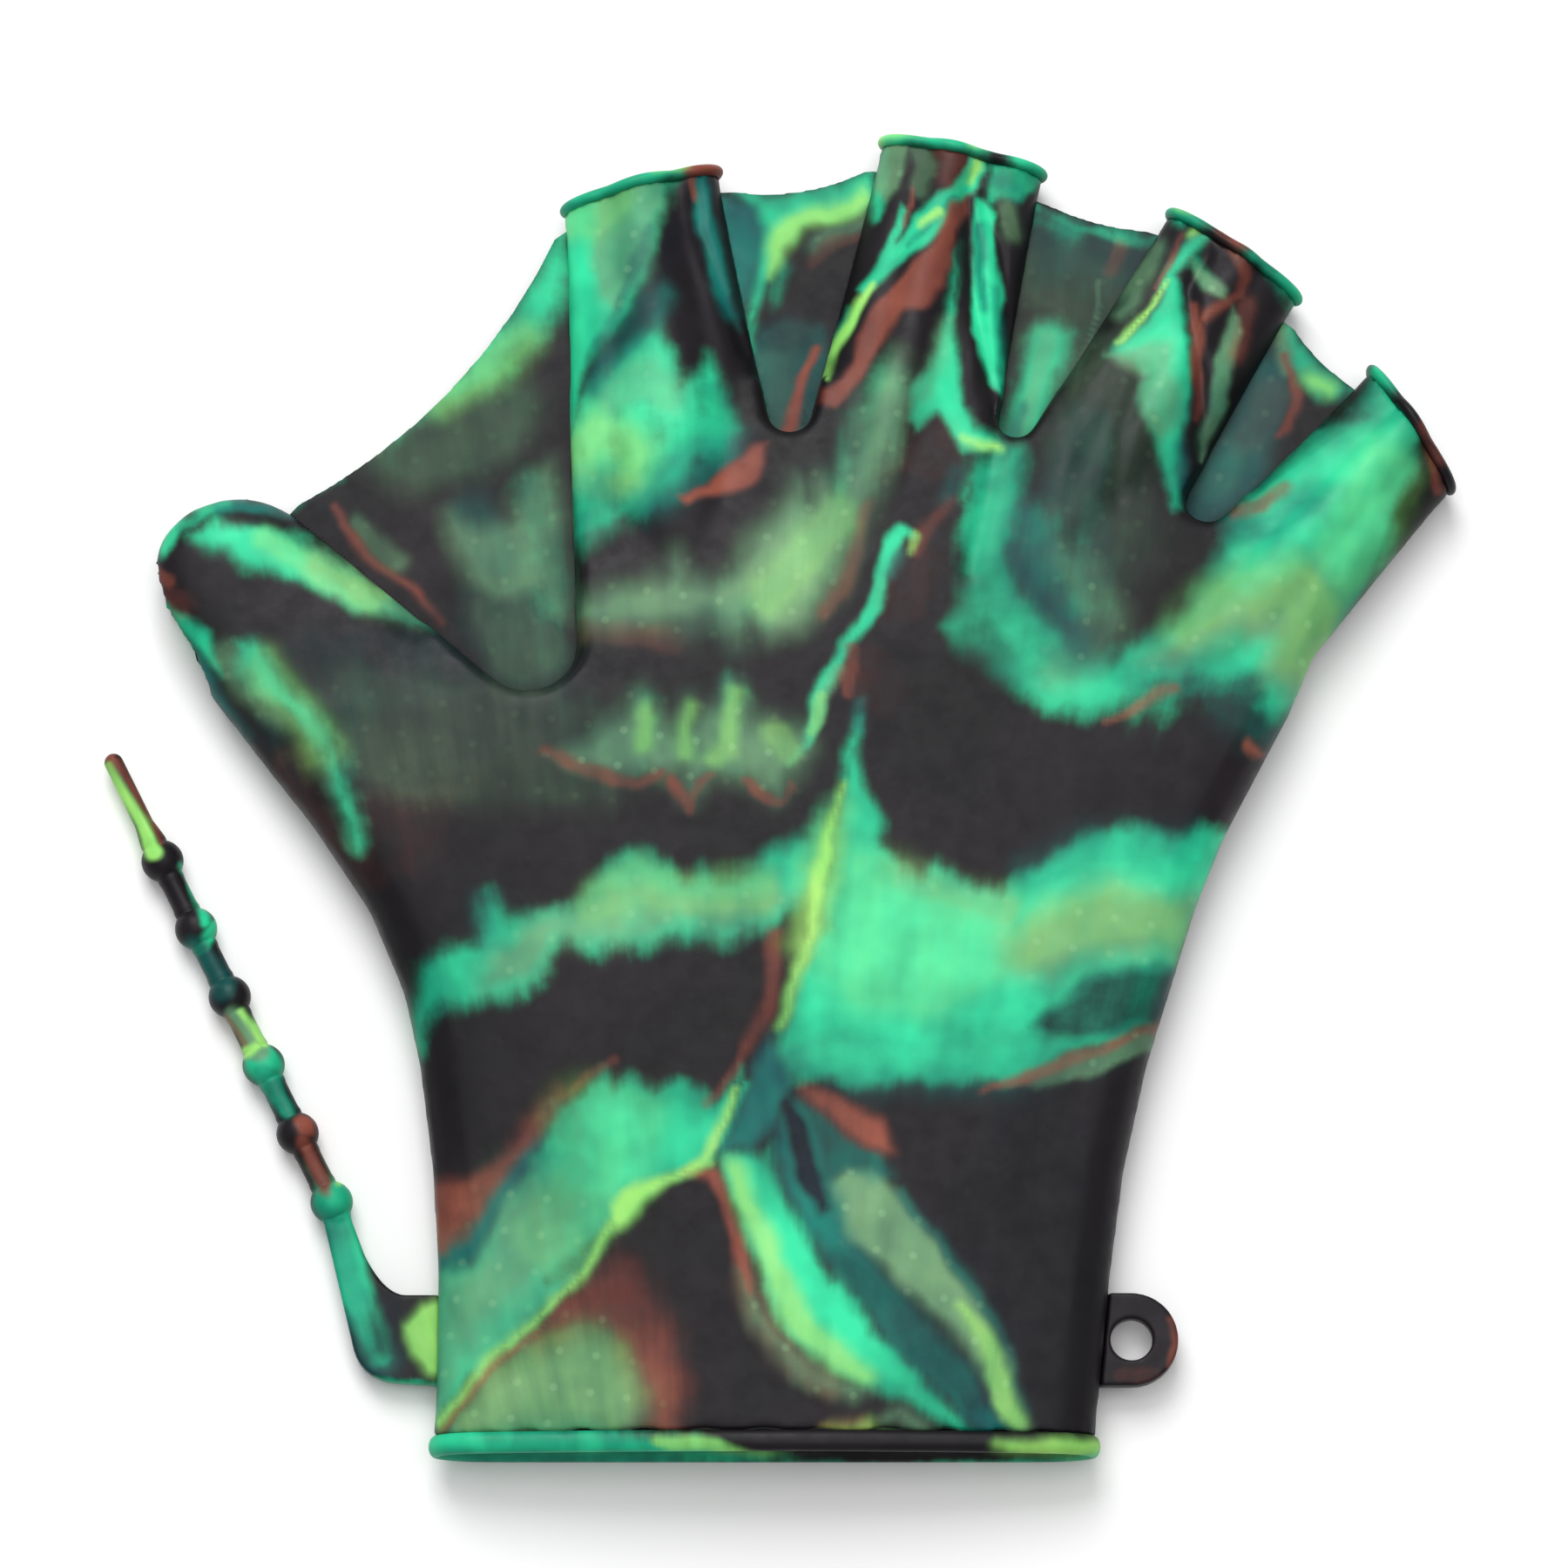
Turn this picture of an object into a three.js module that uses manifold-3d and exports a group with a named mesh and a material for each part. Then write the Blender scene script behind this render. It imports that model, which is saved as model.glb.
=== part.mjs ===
// Webbed swim glove: one hollow silicone hand with open finger ends, flat webs between the
// fingers, rolled rims, a beaded wrist strap and the loop that the strap's beads pull through.
// The glove lies on a surface. Millimetres: X across the hand, thumb at -X, Y towards the
// fingertips, Z up. The origin is the middle of the glove's footprint, on the surface.

import * as THREE from 'three';
import { mergeVertices } from 'three/addons/utils/BufferGeometryUtils.js';
import Module from 'manifold-3d';

const wasm = await Module();
wasm.setup();

// Hand
const WALL = 1.2;
const CLEARANCE = 0.3;
const PALM_LENGTH = 160;
const WRIST_WIDTH = 100;
const KNUCKLE_WIDTH = 116;
const WRIST_HEIGHT = 11.5;
const PALM_HEIGHT = 14;
const PALM_DOME = 2.5;
const PALM_FLANK = 9;

// Fingers and thumb
const FINGER_LENGTH = 47;
const FINGER_WIDTH = 25;
const FINGER_HEIGHT = 11;
const FINGER_DOME = 2.2;
const FINGER_FLANK = 7.5;
const THUMB_LENGTH = 73.5;
const THUMB_WIDTH = 27.8;
const THUMB_HEIGHT = 12;
const THUMB_LEAN = 43.6;
const THUMB_OPENING_LENGTH = 23;
const THUMB_OPENING_HEIGHT = 7;

// Webs
const WEB_THICKNESS = 1.6;
const WEB_LEVEL = 5.5;
const WEB_TIP_RADIUS = 3.2;
const NOTCH_FLARE = 3.2;

// Rolled rims
const RIM_PROUD = 1;
const FINGER_RIM_LENGTH = 1.8;
const WRIST_RIM_LENGTH = 3.6;

// Wrist strap and its loop
const STRAP_STATION = 19;
const STRAP_THICKNESS = 3;
const STRAP_LUG_WIDTH = 14;
const STRAP_ELBOW_REACH = 12.6;
const STRAP_BEADS_OUT = 15.9;
const STRAP_BEADS_UP = 21.4;
const STRAP_ANGLE = 116.6;
const BEAD_COUNT = 6;
const BEAD_PITCH = 11.85;
const BEAD_DIAMETER = 6.5;
const NECK_DIAMETER = 3.8;
const TAIL_LENGTH = 18.7;
const TAIL_DIAMETER = 2.9;
const LOOP_WIDTH = 14;
const LOOP_THICKNESS = 3;
const LOOP_HOLE_DIAMETER = 6.6;
const LOOP_HOLE_REACH = 5.6;
const LOOP_LEVEL = 4.4;

// How finely the round stretches are divided
const FLANK_STEPS = 4;
const BACK_STEPS = 9;
const BELLY_STEPS = 3;
const RIM_SIDES = 6;
const BEAD_SIDES = 12;
const BEAD_STEPS = 5;
const TIP_STEPS = 8;
const HOLE_STEPS = 24;

// The palm from the wrist opening to inside the finger roots. along is a share of the palm's
// length, left and right are shares of the hand's width there, and full turns from 0 at the
// wrist's height to 1 at the palm's. lift is a share of how far the rims stand proud.
const PALM_SECTIONS = [
  { along: 0.0, left: -0.5, right: 0.5, full: 0.0, lift: 1 },
  { along: 0.1, left: -0.489, right: 0.505, full: 0.1, lift: 1 },
  { along: 0.18, left: -0.482, right: 0.511, full: 0.25, lift: 0.8 },
  { along: 0.28, left: -0.484, right: 0.524, full: 0.45, lift: 0.4 },
  { along: 0.38, left: -0.496, right: 0.55, full: 0.7, lift: 0 },
  { along: 0.45, left: -0.514, right: 0.577, full: 0.85, lift: 0 },
  { along: 0.53, left: -0.558, right: 0.607, full: 1, lift: 0 },
  { along: 0.6, left: -0.62, right: 0.642, full: 1, lift: 0 },
  { along: 0.66, left: -0.675, right: 0.682, full: 1, lift: 0 },
  { along: 0.72, left: -0.67, right: 0.722, full: 1, lift: 0 },
  { along: 0.78, left: -0.53, right: 0.752, full: 0.95, lift: 0 },
  { along: 0.85, left: -0.4, right: 0.785, full: 0.8, lift: 0 },
  { along: 0.92, left: -0.275, right: 0.7, full: 0.55, lift: 0 },
  { along: 1.0, left: -0.265, right: 0.55, full: 0.1, lift: 0.3 },
  { along: 1.05, left: -0.26, right: 0.42, full: -0.5, lift: 0.6 },
];

// The four fingers. across and along place the root's middle, as shares of the knuckles' width
// and the palm's length. lean is in degrees to the right, length is a share of the middle
// finger's, root and rim are the widths as shares of a finger's width, and slant turns the rim.
const FINGERS = [
  { name: 'index', across: -0.127, along: 1.003, lean: -6.7, length: 0.862, root: 1.24, rim: 0.98, slant: -8 },
  { name: 'middle', across: 0.183, along: 1.0, lean: 12.2, length: 1.0, root: 1.15, rim: 1.02, slant: 0 },
  { name: 'ring', across: 0.456, along: 0.966, lean: 30.4, length: 0.875, root: 1.04, rim: 0.96, slant: 4.5 },
  { name: 'pinky', across: 0.67, along: 0.85, lean: 42, length: 0.745, root: 1.0, rim: 0.87, slant: 15 },
];

// One finger from inside the palm, before its root, to its rim. along is a share of the finger's
// length, taper turns from the root's width at 0 to the rim's at 1, and full scales the height.
const FINGER_SECTIONS = [
  { along: -0.75, taper: 0, full: 1.1, lift: 0 },
  { along: -0.35, taper: 0, full: 1.22, lift: 0 },
  { along: 0, taper: 0, full: 1.25, lift: 0 },
  { along: 0.35, taper: 0.4, full: 1.15, lift: 0.3 },
  { along: 0.7, taper: 0.75, full: 1.05, lift: 0.8 },
  { along: 1, taper: 1, full: 1, lift: 1 },
];

// The thumb from inside the palm to its round tip. along is a share of the thumb's length, and
// width and height are shares of its own.
const THUMB_ROOT = { across: -0.344, along: 0.58 };
const THUMB_SECTIONS = [
  { along: 0.0, width: 1.37, height: 0.9 },
  { along: 0.2, width: 1.33, height: 1.1 },
  { along: 0.4, width: 1.24, height: 1.15 },
  { along: 0.61, width: 1.13, height: 1.08 },
  { along: 0.77, width: 1.05, height: 1.0 },
  { along: 0.85, width: 0.99, height: 1.0 },
  { along: 0.9, width: 0.89, height: 0.95 },
  { along: 0.94, width: 0.75, height: 0.86 },
  { along: 0.97, width: 0.57, height: 0.72 },
  { along: 1.0, width: 0.22, height: 0.42 },
];
// Where the side opening's middle lies, as a share of the thumb's length, and which way it
// faces, in degrees from straight across the thumb.
const THUMB_OPENING = { along: 0.785, turn: 18 };

// The webs. tip is a share of the inner tip's radius, from and to are the shares of the two
// digits' lengths where the free edge starts and ends, and sag is how far it dips, as a share
// of its own span.
const WEBS = [
  { name: 'thumb_index', left: 'thumb', right: 'index', tip: 2.34, from: 0.86, to: 0.86, sag: 0.085 },
  { name: 'index_middle', left: 'index', right: 'middle', tip: 1, from: 0.93, to: 0.88, sag: 0.09 },
  { name: 'middle_ring', left: 'middle', right: 'ring', tip: 0.82, from: 0.88, to: 0.9, sag: 0.06 },
  { name: 'ring_pinky', left: 'ring', right: 'pinky', tip: 1, from: 0.85, to: 0.93, sag: 0.06 },
];

// The side of a notch between two digits, from the floor to above the palm. level is a share of
// the palm's height above the web (or of the web's level, below it), flare a share of the
// notch's flare.
const NOTCH_LEVELS = [
  { level: -1.2, flare: 0.8 },
  { level: -0.85, flare: 0.55 },
  { level: -0.5, flare: 0.15 },
  { level: 0, flare: 0 },
  { level: 0.35, flare: 0.06 },
  { level: 0.65, flare: 0.24 },
  { level: 0.85, flare: 0.5 },
  { level: 1.0, flare: 1.0 },
  { level: 1.3, flare: 2.0 },
];

// Creases pressed into the backs of the fingers, which run out at their rims. across and width
// are shares of the finger's half width, start is a share of its length, and depth a share of
// its height. Each one deepens over CREASE_FADE, a share of the finger's length.
const CREASES = [
  { finger: 'middle', across: 0.22, start: -0.4, depth: 0.15, width: 0.24 },
  { finger: 'ring', across: -0.1, start: 0, depth: 0.14, width: 0.22 },
  { finger: 'index', across: 0.45, start: 0.3, depth: 0.06, width: 0.3 },
];
const CREASE_FADE = 0.5;

const BLACK = new THREE.Color('#38343a');
const GREEN = new THREE.Color('#2fc793');
const OLIVE = new THREE.Color('#6a9a76');

const mix = (a, b, share) => a + (b - a) * share;
const radians = THREE.MathUtils.degToRad;

// Solids and geometries

function solidOf(geometry) {
  const bare = geometry.clone();
  bare.deleteAttribute('normal');
  bare.deleteAttribute('uv');
  const merged = mergeVertices(bare, 1e-4);
  return new wasm.Manifold(
    new wasm.Mesh({
      numProp: 3,
      vertProperties: merged.attributes.position.array,
      triVerts: new Uint32Array(merged.index.array),
    }),
  );
}

function geometryOf(solid) {
  const mesh = solid.getMesh();
  const geometry = new THREE.BufferGeometry();
  geometry.setAttribute('position', new THREE.BufferAttribute(mesh.vertProperties, 3));
  geometry.setIndex(new THREE.BufferAttribute(mesh.triVerts, 1));
  geometry.computeVertexNormals();
  return geometry;
}

// Skins a row of rings, each a list of the same number of points, into one closed solid. The
// ends are closed flat, or the last ring is joined to the first one.
function skin(rings, joined = false) {
  const count = rings[0].length;
  const points = rings.flat();
  const faces = [];
  const rows = joined ? rings.length : rings.length - 1;
  for (let row = 0; row < rows; row += 1) {
    const next = (row + 1) % rings.length;
    for (let i = 0; i < count; i += 1) {
      const j = (i + 1) % count;
      const [a, b] = [row * count + i, row * count + j];
      const [c, d] = [next * count + j, next * count + i];
      faces.push(a, b, c, a, c, d);
    }
  }
  if (!joined) {
    const middleOf = (ring) =>
      ring.reduce((sum, point) => sum.add(point), new THREE.Vector3()).divideScalar(count);
    const first = points.push(middleOf(rings[0])) - 1;
    const last = points.push(middleOf(rings[rings.length - 1])) - 1;
    const start = (rings.length - 1) * count;
    for (let i = 0; i < count; i += 1) {
      const j = (i + 1) % count;
      faces.push(first, j, i);
      faces.push(last, start + i, start + j);
    }
  }
  const geometry = new THREE.BufferGeometry().setFromPoints(points);
  geometry.setIndex(faces);
  const solid = solidOf(geometry);
  if (solid.volume() > 0) return solid;
  for (let i = 0; i < faces.length; i += 3) {
    [faces[i + 1], faces[i + 2]] = [faces[i + 2], faces[i + 1]];
  }
  geometry.setIndex(faces);
  return solidOf(geometry);
}

// The flattened tube that every section of the hand is: flat below, a low dome above, and
// rounded flanks. Returns a closed ring of points round the section's middle, which is on the
// floor. A positive inset gives the inside of the wall, and a negative one a rim.
function ring({ middle, across, halfWidth, low, high, dome, flank, inset = 0, crease = null }) {
  const half = halfWidth - inset;
  const reach = Math.min(flank, half * 0.9);
  const flat = half - reach;
  const bottom = low + inset;
  const top = high - inset;
  const centre = (bottom + top) / 2;
  const rise = (top - bottom) / 2;
  const outline = [];
  const corner = (side, from) => {
    for (let step = 0; step < FLANK_STEPS; step += 1) {
      const angle = from + (step / FLANK_STEPS) * (Math.PI / 2);
      outline.push([side * flat + reach * Math.cos(angle), centre + rise * Math.sin(angle)]);
    }
  };
  const span = (from, to, z, steps, domed) => {
    for (let step = 0; step < steps; step += 1) {
      const x = mix(from, to, step / steps);
      const bulge = domed && flat > 0 ? dome * (1 - (x / flat) ** 2) : 0;
      outline.push([x, z + bulge - (domed && crease ? crease(x / halfWidth) : 0)]);
    }
  };
  corner(1, 0);
  span(flat, -flat, top, BACK_STEPS, true);
  corner(-1, Math.PI / 2);
  corner(-1, Math.PI);
  span(-flat, flat, bottom, BELLY_STEPS, false);
  corner(1, (3 * Math.PI) / 2);
  return outline.map(([x, z]) => middle.clone().addScaledVector(across, x).setZ(z));
}

// The hand's plan: where each digit starts, where it points and where its sides run

function handWidth(along) {
  return mix(WRIST_WIDTH, KNUCKLE_WIDTH, along);
}

// The palm's length is counted from the wrist opening, at Y = 0 while the glove is built.
function palmPoint({ across, along }) {
  return new THREE.Vector3(across * KNUCKLE_WIDTH, along * PALM_LENGTH, 0);
}

function leaning(degrees) {
  return new THREE.Vector3(Math.sin(radians(degrees)), Math.cos(radians(degrees)), 0);
}

function squareTo(direction) {
  return new THREE.Vector3(direction.y, -direction.x, 0);
}

function digitPlan(name) {
  if (name === 'thumb') {
    const direction = leaning(-THUMB_LEAN);
    const root = palmPoint(THUMB_ROOT);
    const station = (share) => root.clone().addScaledVector(direction, share * THUMB_LENGTH);
    return { root, direction, length: THUMB_LENGTH, station, halfWidthAt: thumbHalfWidth };
  }
  const finger = FINGERS.find((row) => row.name === name);
  const direction = leaning(finger.lean);
  const root = palmPoint(finger);
  const length = finger.length * FINGER_LENGTH;
  const station = (share) => root.clone().addScaledVector(direction, share * length);
  const halfWidthAt = (share) => (mix(finger.root, finger.rim, share) * FINGER_WIDTH) / 2;
  return { finger, root, direction, length, station, halfWidthAt };
}

function thumbHalfWidth(share) {
  const next = THUMB_SECTIONS.findIndex((row) => row.along >= share);
  const after = THUMB_SECTIONS[Math.max(next, 1)];
  const before = THUMB_SECTIONS[Math.max(next, 1) - 1];
  const part = (share - before.along) / (after.along - before.along);
  return (mix(before.width, after.width, part) * THUMB_WIDTH) / 2;
}

// A straight line along one side of a digit, with side 1 for its right side and -1 for its left.
function sideLine(name, side, from, to) {
  const plan = digitPlan(name);
  const edge = (share) =>
    plan.station(share).addScaledVector(squareTo(plan.direction), side * plan.halfWidthAt(share));
  return { start: edge(from), end: edge(to) };
}

// The hand's forms

function palmForm(inset) {
  const rings = PALM_SECTIONS.map((row, index) => {
    const width = handWidth(row.along);
    const before = index === 0 && inset > 0 ? WRIST_RIM_LENGTH + 2 * WALL : 0;
    return ring({
      middle: new THREE.Vector3(
        ((row.left + row.right) / 2) * width,
        row.along * PALM_LENGTH - before + (index === 0 ? WRIST_RIM_LENGTH + CLEARANCE : 0),
        0,
      ),
      across: new THREE.Vector3(1, 0, 0),
      halfWidth: ((row.right - row.left) / 2) * width,
      low: row.lift * RIM_PROUD,
      high: mix(WRIST_HEIGHT, PALM_HEIGHT, row.full),
      dome: PALM_DOME,
      flank: PALM_FLANK,
      inset,
    });
  });
  return skin(rings);
}

function fingerSection(name, row, inset, past = 0) {
  const { finger, direction, length, station, halfWidthAt } = digitPlan(name);
  const turn = finger.slant * Math.max(row.along, 0);
  const shell = length - FINGER_RIM_LENGTH - CLEARANCE;
  const middle = station(0).addScaledVector(direction, row.along * shell + past);
  const creases = CREASES.filter((crease) => crease.finger === name);
  return {
    middle,
    across: squareTo(leaning(finger.lean + turn)),
    halfWidth: halfWidthAt(row.taper) / Math.cos(radians(turn)),
    low: row.lift * RIM_PROUD,
    high: row.full * FINGER_HEIGHT,
    dome: FINGER_DOME,
    flank: FINGER_FLANK,
    inset,
    crease: (x) =>
      creases.reduce((sum, crease) => {
        const { across, start, depth, width } = crease;
        const deep = THREE.MathUtils.smoothstep(row.along, start, start + CREASE_FADE);
        const fall = Math.exp(-(((x - across) / width) ** 2));
        return sum + deep * depth * FINGER_HEIGHT * fall;
      }, 0),
  };
}

function fingerForm(name, inset) {
  const rings = FINGER_SECTIONS.map((row, index) => {
    const past = inset > 0 && index === FINGER_SECTIONS.length - 1 ? 3 * FINGER_RIM_LENGTH : 0;
    return ring(fingerSection(name, row, inset, past));
  });
  return skin(rings);
}

function thumbForm(inset) {
  const { direction, root } = digitPlan('thumb');
  const level = THUMB_HEIGHT / 2;
  const rings = THUMB_SECTIONS.map((row) => {
    const tall = row.height * THUMB_HEIGHT;
    const low = Math.max(level - tall / 2, 0);
    return ring({
      middle: root.clone().addScaledVector(direction, row.along * (THUMB_LENGTH - inset)),
      across: squareTo(direction),
      halfWidth: (row.width * THUMB_WIDTH) / 2,
      low,
      high: low + tall,
      dome: 0,
      flank: PALM_FLANK,
      inset,
    });
  });
  return skin(rings);
}

// The plan of a notch or a web: down the left digit's side, round the tip and up the right
// digit's side. The tip's circle touches both sides, and outset moves the whole line outwards.
function wedge(web, outset) {
  const left = sideLine(web.left, 1, webStart(web), web.from);
  const right = sideLine(web.right, -1, webStart(web), web.to);
  const radius = web.tip * WEB_TIP_RADIUS;
  const up = [left, right].map((line) => line.end.clone().sub(line.start).normalize());
  const outwards = [squareTo(up[0]).negate(), squareTo(up[1])];
  const crossing = meet(left.start, up[0], right.start, up[1]);
  const middle = up[0].clone().add(up[1]).normalize();
  const halfAngle = up[0].angleTo(up[1]) / 2;
  const centre = crossing.addScaledVector(middle, radius / Math.sin(halfAngle));
  const angles = outwards.map((way) => Math.atan2(way.y, way.x));
  if (angles[1] < angles[0]) angles[1] += 2 * Math.PI;
  const tip = [];
  for (let step = 0; step <= TIP_STEPS; step += 1) {
    const angle = mix(angles[0], angles[1], step / TIP_STEPS);
    const spoke = new THREE.Vector3(Math.cos(angle), Math.sin(angle), 0);
    tip.push(centre.clone().addScaledVector(spoke, radius + outset));
  }
  const ends = [left, right].map((line, i) => line.end.clone().addScaledVector(outwards[i], outset));
  return { tip, ends, up };
}

// The straight part of a web's side starts near the digit's root, but the index finger's side
// runs on down beside the palm.
function webStart(web) {
  return web.left === 'thumb' ? 0.45 : 0;
}

// The point where two lines in the plan cross.
function meet(pointA, wayA, pointB, wayB) {
  const between = pointB.clone().sub(pointA);
  const cross = wayA.x * wayB.y - wayA.y * wayB.x;
  const along = (between.x * wayB.y - between.y * wayB.x) / cross;
  return pointA.clone().addScaledVector(wayA, along);
}

function atLevel(points, z) {
  return points.map((point) => point.clone().setZ(z));
}

// What is cut away between two digits, wider above and below than at the web.
function notch(web, grow) {
  const above = PALM_HEIGHT + PALM_DOME - WEB_LEVEL;
  const rings = NOTCH_LEVELS.map(({ level, flare }) => {
    const { tip, ends, up } = wedge(web, flare * NOTCH_FLARE + grow);
    const far = ends.map((end, i) => end.clone().addScaledVector(up[i], FINGER_LENGTH));
    return atLevel([far[0], ...tip, far[1]], WEB_LEVEL + level * (level < 0 ? WEB_LEVEL : above));
  });
  return skin(rings);
}

function unionOf(solids) {
  return solids.reduce((sum, solid) => sum.add(solid));
}

function handForm(inset) {
  const fingers = FINGERS.map((finger) => fingerForm(finger.name, inset));
  const whole = unionOf([palmForm(inset), thumbForm(inset), ...fingers]);
  return WEBS.reduce((solid, web) => solid.subtract(notch(web, inset)), whole);
}

// The oval hole through the thumb's outer side, near its tip.
function thumbOpening() {
  const { direction, station } = digitPlan('thumb');
  const depth = THUMB_WIDTH;
  const cutter = new THREE.CylinderGeometry(0.5, 0.5, depth, HOLE_STEPS);
  cutter.scale(THUMB_OPENING_LENGTH, 1, THUMB_OPENING_HEIGHT);
  cutter.translate(0, depth / 2, 0);
  const outwards = squareTo(direction).negate();
  cutter.rotateZ(Math.atan2(outwards.y, outwards.x) - Math.PI / 2 - radians(THUMB_OPENING.turn));
  const middle = station(THUMB_OPENING.along);
  cutter.translate(middle.x, middle.y, THUMB_HEIGHT / 2);
  return solidOf(cutter);
}

function handShell() {
  return handForm(0).subtract(handForm(WALL)).subtract(thumbOpening());
}

// A web fills its notch at mid height, clear of both digits, with a dipped free edge.
function webPanel(web) {
  const { tip, ends } = wedge(web, -CLEARANCE);
  const sag = squareTo(ends[1].clone().sub(ends[0])).multiplyScalar(web.sag * 2);
  const dip = ends[0].clone().lerp(ends[1], 0.5).add(sag);
  const edge = new THREE.QuadraticBezierCurve3(ends[1], dip, ends[0]).getPoints(TIP_STEPS);
  const outline = [...tip, ...edge];
  const low = WEB_LEVEL - WEB_THICKNESS / 2;
  return skin([atLevel(outline, low), atLevel(outline, low + WEB_THICKNESS)]);
}

// A rolled rim round an open end: the end's own section, swept round a small oval.
function rolledRim(section, towards, length) {
  const rings = [];
  for (let side = 0; side < RIM_SIDES; side += 1) {
    const angle = (2 * Math.PI * side) / RIM_SIDES;
    const half = (WALL + RIM_PROUD) / 2;
    const inset = WALL - half - half * Math.cos(angle);
    const shift = (length / 2) * (1 + Math.sin(angle)) + CLEARANCE;
    const middle = section.middle.clone().addScaledVector(towards, shift);
    rings.push(ring({ ...section, middle, inset }));
  }
  return skin(rings, true);
}

function fingerRim(name) {
  const last = FINGER_SECTIONS[FINGER_SECTIONS.length - 1];
  return rolledRim(fingerSection(name, last, 0), digitPlan(name).direction, FINGER_RIM_LENGTH);
}

function wristRim() {
  const row = PALM_SECTIONS[0];
  const section = {
    middle: new THREE.Vector3(0, WRIST_RIM_LENGTH + CLEARANCE, 0),
    across: new THREE.Vector3(1, 0, 0),
    halfWidth: ((row.right - row.left) / 2) * WRIST_WIDTH,
    low: RIM_PROUD,
    high: WRIST_HEIGHT,
    dome: PALM_DOME,
    flank: PALM_FLANK,
  };
  return rolledRim(section, new THREE.Vector3(0, -1, 0), WRIST_RIM_LENGTH);
}

// The strap's flat part: a lug at the wrist's side that turns up into the beaded part.
function strapBlade(seat, end) {
  const half = STRAP_LUG_WIDTH / 2;
  const neck = NECK_DIAMETER / 2;
  const way = leaning(90 - STRAP_ANGLE);
  const side = squareTo(way).multiplyScalar(neck);
  const reach = STRAP_ELBOW_REACH;
  const at = (out, up) => [seat.x - out * reach, seat.y + up * half];
  const shape = new THREE.Shape();
  shape.moveTo(seat.x + PALM_FLANK / 2, seat.y - half);
  shape.lineTo(...at(0.5, -0.9));
  shape.quadraticCurveTo(...at(0.93, -0.8), ...at(1, 0));
  shape.lineTo(end.x - side.x, end.y - side.y);
  shape.lineTo(end.x + side.x, end.y + side.y);
  shape.lineTo(...at(0.85, 1.86));
  shape.quadraticCurveTo(...at(0.62, 1.05), ...at(0.38, 1));
  shape.lineTo(seat.x + PALM_FLANK / 2, seat.y + half);
  const blade = new THREE.ExtrudeGeometry(shape, {
    depth: STRAP_THICKNESS,
    bevelEnabled: false,
    curveSegments: TIP_STEPS,
  });
  blade.translate(0, 0, BEAD_DIAMETER / 2 - STRAP_THICKNESS / 2);
  return solidOf(blade);
}

// Ball beads on a thin neck, and a thin tail with a round tip, turned about the strap's line.
function strapBeads(start) {
  const ball = BEAD_DIAMETER / 2;
  const neck = NECK_DIAMETER / 2;
  const tail = TAIL_DIAMETER / 2;
  const profile = [new THREE.Vector2(0, -ball), new THREE.Vector2(neck, -ball)];
  const reach = Math.acos(neck / ball);
  for (let bead = 0; bead < BEAD_COUNT; bead += 1) {
    for (let step = 0; step <= BEAD_STEPS; step += 1) {
      const angle = mix(-reach, reach, step / BEAD_STEPS);
      profile.push(
        new THREE.Vector2(ball * Math.cos(angle), bead * BEAD_PITCH + ball * Math.sin(angle)),
      );
    }
  }
  const last = (BEAD_COUNT - 1) * BEAD_PITCH;
  profile.push(new THREE.Vector2(tail, last + BEAD_DIAMETER));
  profile.push(new THREE.Vector2(tail, last + TAIL_LENGTH - tail));
  profile.push(new THREE.Vector2(tail * Math.SQRT1_2, last + TAIL_LENGTH - tail * (1 - Math.SQRT1_2)));
  profile.push(new THREE.Vector2(0, last + TAIL_LENGTH));
  const turned = new THREE.LatheGeometry(profile, BEAD_SIDES);
  turned.rotateZ(radians(STRAP_ANGLE) - Math.PI / 2);
  turned.translate(start.x, start.y, ball);
  return solidOf(turned);
}

// The wrist's side at the strap's station, at -1 for the thumb's side and 1 for the other.
function wristSide(side) {
  const x = (side * WRIST_WIDTH) / 2;
  return new THREE.Vector3(x, STRAP_STATION, 0);
}

function wristStrap() {
  const seat = wristSide(-1);
  const firstBead = new THREE.Vector3(seat.x - STRAP_BEADS_OUT, seat.y + STRAP_BEADS_UP, 0);
  const whole = strapBlade(seat, firstBead).add(strapBeads(firstBead));
  return whole.subtract(handForm(-CLEARANCE));
}

// The loop: a round-ended tab with a hole, on the wrist's other side.
function strapLoop() {
  const seat = wristSide(1);
  const half = LOOP_WIDTH / 2;
  const shape = new THREE.Shape();
  shape.moveTo(seat.x - PALM_FLANK / 2, seat.y - half);
  shape.lineTo(seat.x + LOOP_HOLE_REACH, seat.y - half);
  shape.absarc(seat.x + LOOP_HOLE_REACH, seat.y, half, -Math.PI / 2, Math.PI / 2, false);
  shape.lineTo(seat.x - PALM_FLANK / 2, seat.y + half);
  const hole = new THREE.Path();
  hole.absarc(seat.x + LOOP_HOLE_REACH, seat.y, LOOP_HOLE_DIAMETER / 2, 0, 2 * Math.PI, true);
  shape.holes.push(hole);
  const tab = new THREE.ExtrudeGeometry(shape, {
    depth: LOOP_THICKNESS,
    bevelEnabled: false,
    curveSegments: HOLE_STEPS / 2,
  });
  tab.translate(0, 0, LOOP_LEVEL - LOOP_THICKNESS / 2);
  return solidOf(tab).subtract(handForm(-CLEARANCE));
}

// The glove as a scene

const silicone = (color, roughness) =>
  new THREE.MeshStandardMaterial({ color, roughness, metalness: 0 });

function piece(name, solid, material) {
  const mesh = new THREE.Mesh(geometryOf(solid), material);
  mesh.name = name;
  return mesh;
}

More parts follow.
